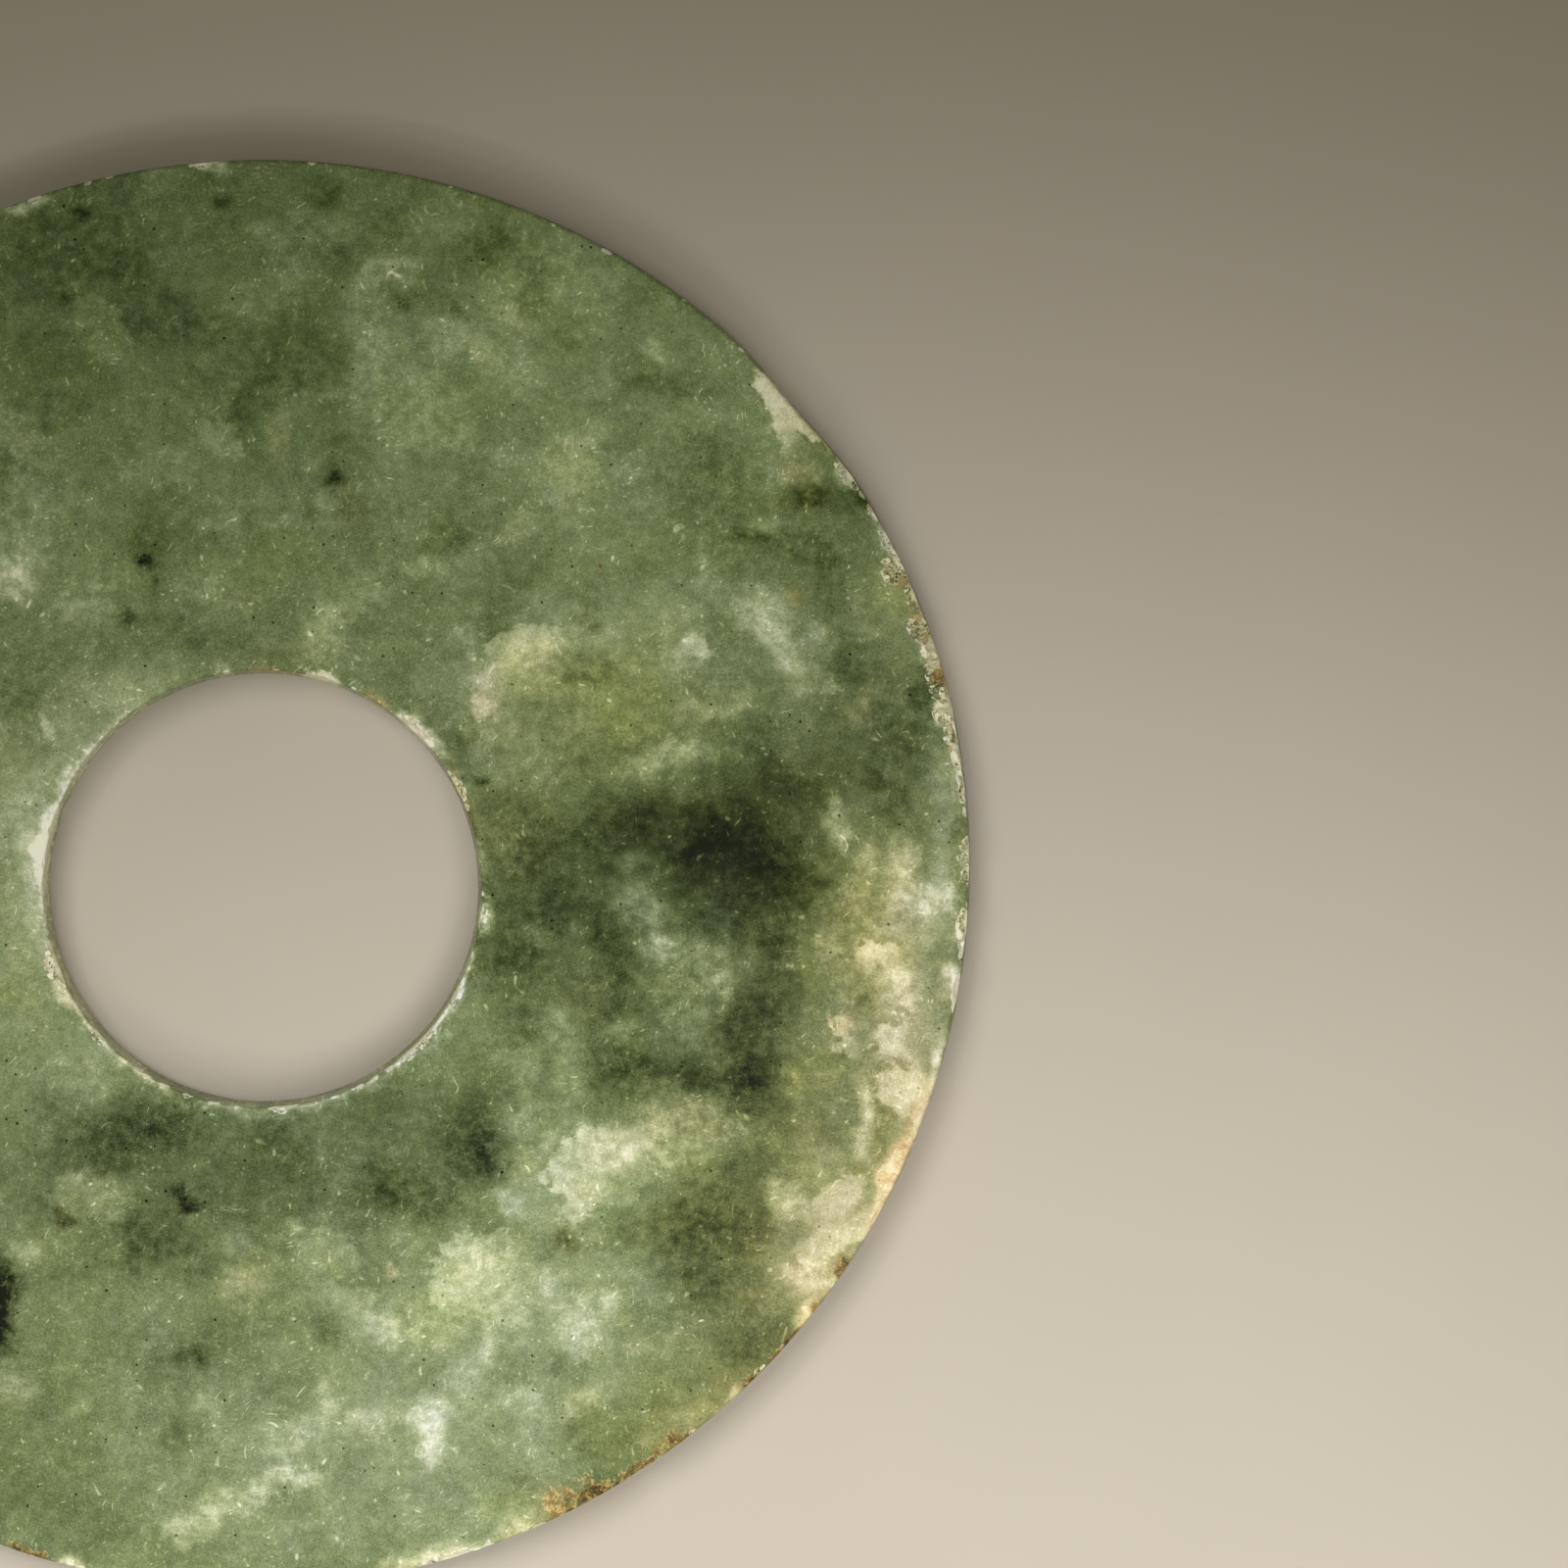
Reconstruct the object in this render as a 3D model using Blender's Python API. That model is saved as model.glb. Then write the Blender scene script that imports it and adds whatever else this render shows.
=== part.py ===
# A plain jade bi disc, lying on its underside with its better face up.
#
# It is one slab of stone, sawn flat, ground round by eye and drilled through
# with a tubular drill from both faces. Its rim is a little out of round and
# leans, its hole is a little off centre, and small chips have broken from
# the upper edges of both. Everything is in metres, with +Z up and the origin
# on the underside, in the middle of the outline.

import math

import bmesh
import bpy
from mathutils import Matrix, Vector

# The slab.
disc_diameter = 0.120
disc_thickness = 0.005

# The rim, as ground by hand: it is longer along one diameter, leans outwards
# towards +X at the underside, and has one flat rubbed on it.
longer_diameter_extra = 0.0007
longer_diameter_angle = 45.0
rim_lean = 0.0002
rim_bulge = 0.00012
rubbed_flat_angle = 41.0
rubbed_flat_width = 0.017
rubbed_flat_depth = 0.00042
rim_upper_ease = 0.00035
rim_lower_ease = 0.00045

# The hole, drilled from both faces to a low ridge near the underside.
hole_upper_diameter = 0.0368
hole_ridge_diameter = 0.0361
hole_lower_diameter = 0.0366
hole_ridge_height = 0.0016
hole_offset_x = 0.0006
hole_offset_y = -0.0011
hole_ease = 0.00022

# Facets round the disc, and rings across each eased edge.
turns = 216
ease_steps = 2

# Chips from the upper edges: the angle round the disc in degrees from +X,
# then the length along the edge, the reach into the upper face and the drop
# down the wall, in metres.
rim_chips = (
    (94.0, 0.0020, 0.0006, 0.0007),
    (60.5, 0.0016, 0.0004, 0.0005),
    (33.8, 0.0034, 0.0008, 0.0010),
    (25.4, 0.0062, 0.0013, 0.0019),
    (20.6, 0.0038, 0.0013, 0.0016),
    (16.4, 0.0052, 0.0014, 0.0021),
    (12.0, 0.0044, 0.0011, 0.0014),
    (1.2, 0.0050, 0.0009, 0.0017),
    (-4.1, 0.0042, 0.0009, 0.0012),
    (-9.0, 0.0030, 0.0005, 0.0008),
    (-28.5, 0.0024, 0.0006, 0.0009),
    (-57.0, 0.0050, 0.0007, 0.0020),
    (-74.0, 0.0060, 0.0006, 0.0009),
    (118.0, 0.0070, 0.0007, 0.0010),
    (171.0, 0.0040, 0.0008, 0.0012),
    (232.0, 0.0050, 0.0009, 0.0014),
)
hole_chips = (
    (74.0, 0.0024, 0.0007, 0.0006),
    (47.0, 0.0036, 0.0009, 0.0009),
    (27.0, 0.0030, 0.0006, 0.0007),
    (-8.0, 0.0018, 0.0007, 0.0007),
    (-28.0, 0.0022, 0.0007, 0.0009),
    (-45.0, 0.0058, 0.0007, 0.0006),
    (-84.0, 0.0030, 0.0006, 0.0005),
    (201.0, 0.0044, 0.0011, 0.0008),
    (222.0, 0.0026, 0.0007, 0.0006),
)

# A chip is a shallow scoop: a low ball whose centre stands off the edge by
# this share of the chip, and which is this much larger than the chip.
scoop_stand_off = 0.6
scoop_growth = 1.66

jade_colour = (0.18, 0.21, 0.10, 1.0)
jade_roughness = 0.34


def clear_scene():
    for old in list(bpy.data.objects):
        bpy.data.objects.remove(old)


def quarter_arc(corner, start_angle, radius):
    # Points round one eased edge, as (distance from the axis, height).
    points = []
    for step in range(ease_steps + 1):
        angle = start_angle + math.pi / 2 * step / ease_steps
        points.append(
            (corner[0] + radius * math.cos(angle), corner[1] + radius * math.sin(angle))
        )
    return points


def section():
    # The slab's section at one side of its axis, anticlockwise from the
    # lower outer edge.
    rim = disc_diameter / 2
    top = disc_thickness
    lower = min(rim_lower_ease, top / 4)
    upper = min(rim_upper_ease, top / 4)
    inner = min(hole_ease, top / 4)
    ridge_height = min(hole_ridge_height, top - 2 * inner)
    points = quarter_arc((rim - lower, lower), -math.pi / 2, lower)
    points.append((rim + rim_bulge, (lower + top - upper) / 2))
    points += quarter_arc((rim - upper, top - upper), 0.0, upper)
    points += quarter_arc((hole_upper_diameter / 2 + inner, top - inner), math.pi / 2, inner)
    points.append((hole_ridge_diameter / 2, ridge_height))
    points += quarter_arc((hole_lower_diameter / 2 + inner, inner), math.pi, inner)
    return points


def rim_radius_change(angle):
    # How far the ground outline departs from a true circle at an angle.
    oval = longer_diameter_extra / 2
    change = oval * math.cos(2 * (angle - math.radians(longer_diameter_angle)))
    away = math.remainder(angle - math.radians(rubbed_flat_angle), 2 * math.pi)
    reach = rubbed_flat_width / disc_diameter
    if abs(away) < reach:
        change -= rubbed_flat_depth * math.cos(away / reach * math.pi / 2) ** 2
    return change


def between_hole_and_rim(radius):
    # 0 at the hole's edge and 1 at the rim, so that the slab follows both.
    hole = hole_upper_diameter / 2
    share = (radius - hole) / (disc_diameter / 2 - hole)
    return max(0.0, min(1.0, share))


def shape_by_hand(point):
    # Moves one point of the true turned slab to where hand work left it.
    radius = math.hypot(point.x, point.y)
    angle = math.atan2(point.y, point.x)
    share = between_hole_and_rim(radius)
    radius += share * rim_radius_change(angle)
    lean = share * rim_lean * (0.5 - point.z / disc_thickness)
    x = radius * math.cos(angle) + lean + (1 - share) * hole_offset_x
    y = radius * math.sin(angle) + (1 - share) * hole_offset_y
    return Vector((x, y, point.z))


def make_slab():
    shape = bmesh.new()
    ring = [shape.verts.new((radius, 0.0, height)) for radius, height in section()]
    for first, second in zip(ring, ring[1:] + ring[:1]):
        shape.edges.new((first, second))
    bmesh.ops.spin(
        shape,
        geom=shape.verts[:] + shape.edges[:],
        cent=(0.0, 0.0, 0.0),
        axis=(0.0, 0.0, 1.0),
        dvec=(0.0, 0.0, 0.0),
        angle=2 * math.pi,
        steps=turns,
        use_merge=True,
    )
    for vertex in shape.verts:
        vertex.co = shape_by_hand(vertex.co)
    bmesh.ops.recalc_face_normals(shape, faces=shape.faces)
    mesh = bpy.data.meshes.new("jade_bi_disc")
    shape.to_mesh(mesh)
    shape.free()
    mesh.shade_smooth()
    mesh.set_sharp_from_angle(angle=math.radians(30))
    slab = bpy.data.objects.new("jade_bi_disc", mesh)
    bpy.context.collection.objects.link(slab)
    return slab


def add_scoop(shape, edge_point, angle, outward, length, reach, drop):
    # One low ball that takes a chip from an upper edge. outward is the way
    # out of the stone: +1 at the rim and -1 at the hole.
    stand_off = Vector((outward * scoop_stand_off * reach, 0.0, scoop_stand_off * drop))
    turn = Matrix.Rotation(angle, 4, "Z")
    size = Matrix.Diagonal((scoop_growth * reach, length / 2, scoop_growth * drop, 1.0))
    place = Matrix.Translation(edge_point) @ turn @ Matrix.Translation(stand_off) @ size
    bmesh.ops.create_icosphere(shape, subdivisions=2, radius=1.0, matrix=place)


def make_chip_cutter():
    shape = bmesh.new()
    rim = disc_diameter / 2
    for degrees, length, reach, drop in rim_chips:
        angle = math.radians(degrees)
        edge = Vector((rim * math.cos(angle), rim * math.sin(angle), disc_thickness))
        drop = min(drop, disc_thickness / 2)
        add_scoop(shape, shape_by_hand(edge), angle, 1, length, reach, drop)
    hole = hole_upper_diameter / 2
    for degrees, length, reach, drop in hole_chips:
        angle = math.radians(degrees)
        edge = Vector((hole * math.cos(angle), hole * math.sin(angle), disc_thickness))
        drop = min(drop, disc_thickness / 2)
        add_scoop(shape, shape_by_hand(edge), angle, -1, length, reach, drop)
    mesh = bpy.data.meshes.new("chip_cutter")
    shape.to_mesh(mesh)
    shape.free()
    cutter = bpy.data.objects.new("chip_cutter", mesh)
    bpy.context.collection.objects.link(cutter)
    cutter.hide_render = True
    cutter.display_type = "WIRE"
    return cutter


def break_chips(slab, cutter):
    cut = slab.modifiers.new("chips", "BOOLEAN")
    cut.operation = "DIFFERENCE"
    cut.solver = "EXACT"
    cut.use_self = True
    cut.object = cutter


def jade_material():
    material = bpy.data.materials.new("jade")
    material.use_nodes = True
    surface = material.node_tree.nodes["Principled BSDF"]
    surface.inputs["Base Color"].default_value = jade_colour
    surface.inputs["Roughness"].default_value = jade_roughness
    surface.inputs["Metallic"].default_value = 0.0
    return material


def main():
    clear_scene()
    slab = make_slab()
    slab.data.materials.append(jade_material())
    break_chips(slab, make_chip_cutter())


main()
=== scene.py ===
# A plain jade bi disc, lying on a pale floor and seen from above.
# The disc is worked out in millimetres, and its mesh becomes metres at the end.

import math
import random

import bmesh
import bpy
import numpy
from mathutils import Matrix, Vector, noise


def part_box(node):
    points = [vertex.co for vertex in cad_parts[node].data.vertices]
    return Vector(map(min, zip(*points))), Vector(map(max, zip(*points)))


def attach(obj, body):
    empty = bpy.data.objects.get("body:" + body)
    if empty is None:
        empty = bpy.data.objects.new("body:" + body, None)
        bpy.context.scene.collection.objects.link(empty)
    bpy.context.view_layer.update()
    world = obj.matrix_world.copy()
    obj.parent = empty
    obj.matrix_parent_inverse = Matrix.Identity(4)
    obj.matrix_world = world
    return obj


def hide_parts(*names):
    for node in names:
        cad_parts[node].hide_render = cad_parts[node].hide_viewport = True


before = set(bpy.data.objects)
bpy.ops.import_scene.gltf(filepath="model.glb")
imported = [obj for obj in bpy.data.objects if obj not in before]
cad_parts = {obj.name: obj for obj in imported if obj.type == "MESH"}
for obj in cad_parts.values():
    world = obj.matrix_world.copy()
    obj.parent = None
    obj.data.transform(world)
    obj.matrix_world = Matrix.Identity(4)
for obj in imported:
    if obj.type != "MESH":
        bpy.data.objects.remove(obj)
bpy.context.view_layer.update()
lowest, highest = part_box("jade_bi_disc")
mm = 0.001


# Sizes of the disc in millimetres, and angles in degrees from +X.
disc = {
    "sectors": 8,            # the disc is spun in equal sectors
    "sectorSteps": 90,       # facets round one sector
    "middleRings": 58,       # rings across the upper face
    "edgeRings": 10,         # closer rings along the face's two edges
    "edgeBand": 2.2,         # width of the band with closer rings
    "fineBand": 1.7,         # width of the rim's band that has twice the facets
    "undersideRings": 8,
    "wallRings": 8,
    "easeSteps": 4,          # rings across a rounded edge
    "lowerSteps": 3,         # rings across each of the underside's edges
    "upperEase": 0.35,       # radii of the rounded edges
    "lowerEase": 0.45,
    "holeEase": 0.22,
    "bulge": 0.12,           # how far the rim's wall swells
    "lean": 0.2,             # how far the underside's rim leans towards +X
    "longerBy": 0.7,         # extra length of the longest diameter
    "longerAngle": 45.0,
    "flatAngle": 41.0,       # the flat rubbed on the rim
    "flatWidth": 17.0,
    "flatDepth": 0.42,
    "holeUpper": 36.8,       # diameters of the hole at its mouths and its ridge
    "holeRidge": 36.1,
    "holeLower": 36.6,
    "ridgeHeight": 1.6,
    "holeX": 0.6,            # how far the hole is off the middle
    "holeY": -1.1,
    "faceWave": 0.02,        # how uneven the ground upper face is
    "faceWaveSize": 6.0,
    "sharpAngle": 38,        # edges that turn by more than this stay sharp
    "mergeDistance": 0.002,  # points closer than this become one
    "sameRing": 0.001,       # points of one ring differ by less than this
    "thickness": (highest.z - lowest.z) / mm,
}
disc["rim"] = (highest.x - lowest.x) / 2 / mm - disc["bulge"]


def arcPoints(centre, startAngle, radius, steps):
    points = []
    for step in range(steps + 1):
        angle = math.radians(startAngle) + math.pi / 2 * step / steps
        points.append((centre[0] + radius * math.cos(angle), centre[1] + radius * math.sin(angle)))
    return points


def between(start, end, steps):
    # Points from start to end, without the two ends.
    return [
        (start[0] + (end[0] - start[0]) * step / steps, start[1] + (end[1] - start[1]) * step / steps)
        for step in range(1, steps)
    ]


def discSection():
    # The disc's section at one side of its axis, as (distance from the axis, height).
    top = disc["thickness"]
    rim = disc["rim"]
    mouth = disc["holeUpper"] / 2
    ridge = (disc["holeRidge"] / 2, disc["ridgeHeight"])
    steps = disc["easeSteps"]
    lowerSteps = disc["lowerSteps"]
    band = disc["edgeBand"]
    points = arcPoints((rim - disc["lowerEase"], disc["lowerEase"]), -90, disc["lowerEase"], lowerSteps)
    swell = (rim + disc["bulge"], top / 2)
    upperRim = arcPoints((rim - disc["upperEase"], top - disc["upperEase"]), 0, disc["upperEase"], steps)
    points += between(points[-1], swell, disc["wallRings"] // 2)
    points.append(swell)
    points += between(swell, upperRim[0], disc["wallRings"] // 2)
    points += upperRim
    upperHole = arcPoints((mouth + disc["holeEase"], top - disc["holeEase"]), 90, disc["holeEase"], steps)
    outer = (upperRim[-1][0] - band, top)
    inner = (upperHole[0][0] + band, top)
    points += between(upperRim[-1], outer, disc["edgeRings"]) + [outer]
    points += between(outer, inner, disc["middleRings"]) + [inner]
    points += between(inner, upperHole[0], disc["edgeRings"])
    points += upperHole
    points += between(upperHole[-1], ridge, disc["wallRings"] // 2)
    points.append(ridge)
    lowerCorner = (disc["holeLower"] / 2 + disc["holeEase"], disc["holeEase"])
    lowerHole = arcPoints(lowerCorner, 180, disc["holeEase"], lowerSteps)
    points += between(ridge, lowerHole[0], lowerSteps)
    points += lowerHole
    points += between(lowerHole[-1], points[0], disc["undersideRings"])
    return points


def worldNoise(points, size, seed):
    # Smooth noise from about -1 to 1 at each point, with lumps of a size in millimetres.
    shift = Vector((seed * 17.3, seed * 5.1, seed * 9.7))
    return numpy.array([noise.noise(Vector(point) / size + shift) for point in points])


def shapeByHand(points):
    # Moves the true turned disc to where grinding and drilling by hand left it.
    radius = numpy.hypot(points[:, 0], points[:, 1])
    angle = numpy.arctan2(points[:, 1], points[:, 0])
    mouth = disc["holeUpper"] / 2
    share = numpy.clip((radius - mouth) / (disc["rim"] - mouth), 0, 1)
    change = disc["longerBy"] / 2 * numpy.cos(2 * (angle - math.radians(disc["longerAngle"])))
    away = numpy.abs((angle - math.radians(disc["flatAngle"]) + math.pi) % (2 * math.pi) - math.pi)
    away = away / (disc["flatWidth"] / 2 / disc["rim"])
    change -= numpy.where(away < 1, disc["flatDepth"] * numpy.cos(away * math.pi / 2) ** 2, 0)
    radius = radius + share * change
    lean = share * disc["lean"] * (0.5 - points[:, 2] / disc["thickness"])
    shaped = numpy.column_stack((
        radius * numpy.cos(angle) + lean + (1 - share) * disc["holeX"],
        radius * numpy.sin(angle) + (1 - share) * disc["holeY"],
        points[:, 2],
    ))
    return shaped


# Chips from the upper edges: angle, length along the edge, reach into the face, drop down the wall.
chips = {
    "standOff": 0.6,         # how far a scoop's centre stands off the edge, as a share of the chip
    "growth": 1.66,          # how much larger the scoop is than its chip
    "roughness": 0.30,       # how uneven a broken surface is, as a share of the scoop
    "grain": 0.55,           # size of that unevenness
    "seed": 41,
    "nearEdge": 4.0,         # how far from an edge its chips may reach
    "nibbleLength": (0.5, 2.0),      # times the mean length there
    "nibbleReach": (0.12, 0.34),     # times the nibble's length
    "nibbleDrop": (0.2, 0.5),
    "rim": [
        (94.0, 2.0, 0.6, 0.7), (60.5, 1.6, 0.4, 0.5), (33.8, 3.4, 0.8, 1.0), (28.0, 3.0, 0.8, 1.0),
        (25.4, 4.8, 1.9, 2.2), (22.8, 3.0, 0.9, 1.4), (20.2, 4.0, 1.8, 2.1), (18.4, 3.0, 1.3, 1.8),
        (16.6, 3.6, 1.5, 2.1), (15.0, 3.0, 1.5, 1.8), (13.3, 3.2, 1.7, 1.9), (11.4, 2.8, 1.2, 1.4),
        (9.4, 3.0, 0.8, 1.0), (6.6, 4.0, 0.6, 0.9), (1.2, 5.0, 0.9, 1.7),
        (-4.1, 4.2, 0.9, 1.2), (-9.0, 3.0, 0.5, 0.8), (-28.5, 2.4, 0.6, 0.9), (-57.0, 5.0, 0.7, 2.0),
        (-74.0, 6.0, 0.6, 0.9), (118.0, 7.0, 0.7, 1.0), (171.0, 4.0, 0.8, 1.2), (232.0, 5.0, 0.9, 1.4),
    ],
    "hole": [
        (74.0, 2.4, 0.7, 0.6), (47.0, 3.6, 0.9, 0.9), (27.0, 3.0, 0.6, 0.7), (-8.0, 1.8, 0.7, 0.7),
        (-28.0, 2.2, 0.7, 0.9), (-45.0, 5.8, 0.7, 0.6), (-84.0, 3.0, 0.6, 0.5), (201.0, 4.4, 1.1, 0.8),
        (222.0, 2.6, 0.7, 0.6),
    ],
    # Small nibbles: from angle, to angle, how many, and their mean length.
    "rimNibbles": [
        (-14, 36, 70, 1.1), (36, 100, 34, 0.6), (100, 150, 26, 0.8), (150, 260, 60, 0.8),
        (260, 346, 70, 0.8),
    ],
    "holeNibbles": [(-100, 30, 60, 0.6), (30, 150, 40, 0.5), (150, 260, 46, 0.7)],
}


def pushScoop(points, broken, edge, outward, angle, length, reach, drop, grain):
    # Pushes the points inside one low ball out to its surface, which lies in the stone.
    cosine, sine = math.cos(angle), math.sin(angle)
    stand = outward * chips["standOff"] * reach
    centre = edge + numpy.array((stand * cosine, stand * sine, chips["standOff"] * drop))
    size = numpy.array((chips["growth"] * reach, length / 2, chips["growth"] * drop))
    offset = points - centre
    near = numpy.nonzero(numpy.abs(offset).max(axis=1) < size.max())[0]
    offset = offset[near]
    local = numpy.column_stack((
        offset[:, 0] * cosine + offset[:, 1] * sine,
        offset[:, 1] * cosine - offset[:, 0] * sine,
        offset[:, 2],
    )) / size
    far = numpy.linalg.norm(local, axis=1)
    wanted = 1 - chips["roughness"] * numpy.clip(grain[near], 0, 1)
    inside = far < wanted
    near, local, far, wanted = near[inside], local[inside], far[inside], wanted[inside]
    local = local / far[:, None] * wanted[:, None] * size
    moved = numpy.column_stack((
        local[:, 0] * cosine - local[:, 1] * sine,
        local[:, 0] * sine + local[:, 1] * cosine,
        local[:, 2],
    )) + centre
    broken[near] += numpy.linalg.norm(moved - points[near], axis=1)
    points[near] = moved


def edgePoint(radius, angle):
    point = numpy.array([[radius * math.cos(angle), radius * math.sin(angle), disc["thickness"]]])
    return shapeByHand(point)[0]


def breakChips(allPoints, allBroken):
    dice = random.Random(chips["seed"])
    edges = (
        ("rim", "rimNibbles", disc["rim"], 1),
        ("hole", "holeNibbles", disc["holeUpper"] / 2, -1),
    )
    fromAxis = numpy.hypot(allPoints[:, 0], allPoints[:, 1])
    for name, nibbles, radius, outward in edges:
        close = numpy.abs(fromAxis - radius) < chips["nearEdge"]
        near = numpy.nonzero(close & (allPoints[:, 2] > 1))[0]
        points = allPoints[near]
        broken = allBroken[near]
        grain = 2.0 * worldNoise(points, chips["grain"], 3)
        scoops = list(chips[name])
        for start, end, count, mean in chips[nibbles]:
            for nibble in range(count):
                length = mean * dice.uniform(*chips["nibbleLength"])
                reach = length * dice.uniform(*chips["nibbleReach"])
                drop = length * dice.uniform(*chips["nibbleDrop"])
                scoops.append((dice.uniform(start, end), length, reach, drop))
        for degrees, length, reach, drop in scoops:
            angle = math.radians(degrees)
            edge = edgePoint(radius, angle)
            pushScoop(points, broken, edge, outward, angle, length, reach, drop, grain)
        allPoints[near] = points
        allBroken[near] = broken


# Clouds in the stone, given one by one. Each is x, y, length, width, turn of the length, and what it adds
# to the lightness, to yellow (less is bluer) and to blush (more is redder).
broadClouds = [
    (25, 42, 28, 22, -40, 0.055, 0, 0), (23, 52, 14, 8, -25, 0.035, 0, 0), (9, 57, 14, 6, 0, 0.05, 0, 0),
    (33, 30, 16, 12, 0, 0.035, 0, 0), (24, 21, 10, 8, 0, 0.04, 0, 0), (18, 15, 6, 6, 0, 0.06, 0, 0),
    (-19, 47, 9, 10, 0, -0.06, 0, 0), (5.5, 45, 5, 7, 0, -0.035, 0, 0), (-6, 27, 10, 6, 0, -0.03, 0, 0),
    (36, -4, 28, 18, 0, -0.10, 0, 0), (42, 9.5, 10, 6, 0, -0.09, 0, 0), (53, 12, 8, 16, 0, -0.06, 0, 0),
    (29, 9, 9, 6, 0, -0.045, 0, 0), (40, -17, 16, 12, 0, -0.06, 0, 0), (48, 3, 7, 12, 0, -0.05, 0, 0),
    (-19, -1, 7, 30, 0, 0.08, 0, 0), (-14, -14, 9, 8, 0, 0.06, 0, 0), (-12, 14, 9, 6, 0, 0.05, 0, 0),
    (1, -24, 36, 13, 0, -0.06, 0, 0), (-8, -31, 14, 10, 0, -0.035, 0, 0), (12, -21, 12, 7, 0, -0.05, 0, 0),
    (15, -48, 38, 26, 0, 0.07, 0, 0), (26, -33, 14, 16, 0, 0.055, 0, 0), (24, -24, 10, 6, 0, 0.04, 0, 0),
    (49, -30, 12, 18, -35, 0.13, 0, 0.2), (55, -13, 8, 24, 10, 0.15, 0, 0.2),
    (-19, -52, 8, 12, 0, -0.035, 0, 0), (10, 46, 100, 42, 0, 0, 0.4, -0.3),
    (50, -22, 22, 50, 0, 0, 0, 0.3), (42, -42, 18, 20, 0, 0, 0, 0.2),
    (-4, -23, 44, 12, 0, 0, -0.45, 0), (14, -48, 40, 22, 0, 0, -0.35, 0), (20, 14, 12, 10, 0, 0, -0.7, 0),
    (46, 36, 10, 12, 45, 0.03, 0, 0), (54, 24, 6, 10, 0, 0.06, 0, 0.1), (32, 22, 12, 10, 0, 0.03, 0, 0),
    (40.5, 1.5, 13, 9, -10, -0.15, 0.2, 0), (31, 4, 12, 5, 0, -0.08, 0.2, 0),
    (27, 0, 8, 8, 0, -0.05, -0.1, 0), (43, 7, 8, 5, 0, -0.04, 0.2, 0),
    (38, 42, 14, 8, -45, 0.06, 0, 0), (22, 50, 8, 8, 0, 0.04, 0, 0),
    (20, 15.5, 5, 6, 0, 0.09, -0.2, 0), (-13, 12, 6, 14, -45, 0.10, -0.2, 0),
    (44, 20, 6, 5, 0, 0.06, 0, 0), (32, 20, 7, 6, 0, 0.05, 0, 0),
    (35, -47, 8, 4, 35, 0.12, 0.2, 0.3), (40.5, -43, 6, 4, 45, 0.06, 0, 0.2),
    (52, -6, 6, 9, 0, -0.07, 0, 0), (42.5, -24, 9, 13, 0, -0.08, 0, 0), (48, -12, 4, 5, 0, 0.05, 0, 0),
    (-3, -42, 12, 8, 0, -0.06, 0, 0), (38, -36, 9, 7, 0, -0.05, 0, 0), (-4, -26, 8, 6, 0, -0.04, 0, 0),
    (16, -33, 5, 5, 0, 0.05, 0, 0), (17, -47, 5, 6, 0, 0.04, 0, 0), (5, -22, 7, 5, 0, 0.04, 0, 0),
    (8.5, -32, 5, 5, 0, -0.06, 0, 0), (24, -28, 4, 4, 0, 0.05, 0, 0), (56, 28, 4, 6, 0, 0.05, 0, 0),
    (36.5, 8, 5, 4, 0, 0.04, 0, 0), (34, 23, 5, 4, 0, 0.03, 0, 0), (59, 2, 3, 12, 0, 0.06, 0, 0),
    (-18, -6, 5, 10, 0, 0.03, 0, 0), (25.5, 30, 5, 5, 0, 0.04, 0, 0),
    (36, -46, 26, 5, 40, -0.10, 0.4, 0.1), (10, 36, 60, 36, 0, 0.02, 0, 0),
]
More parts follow.
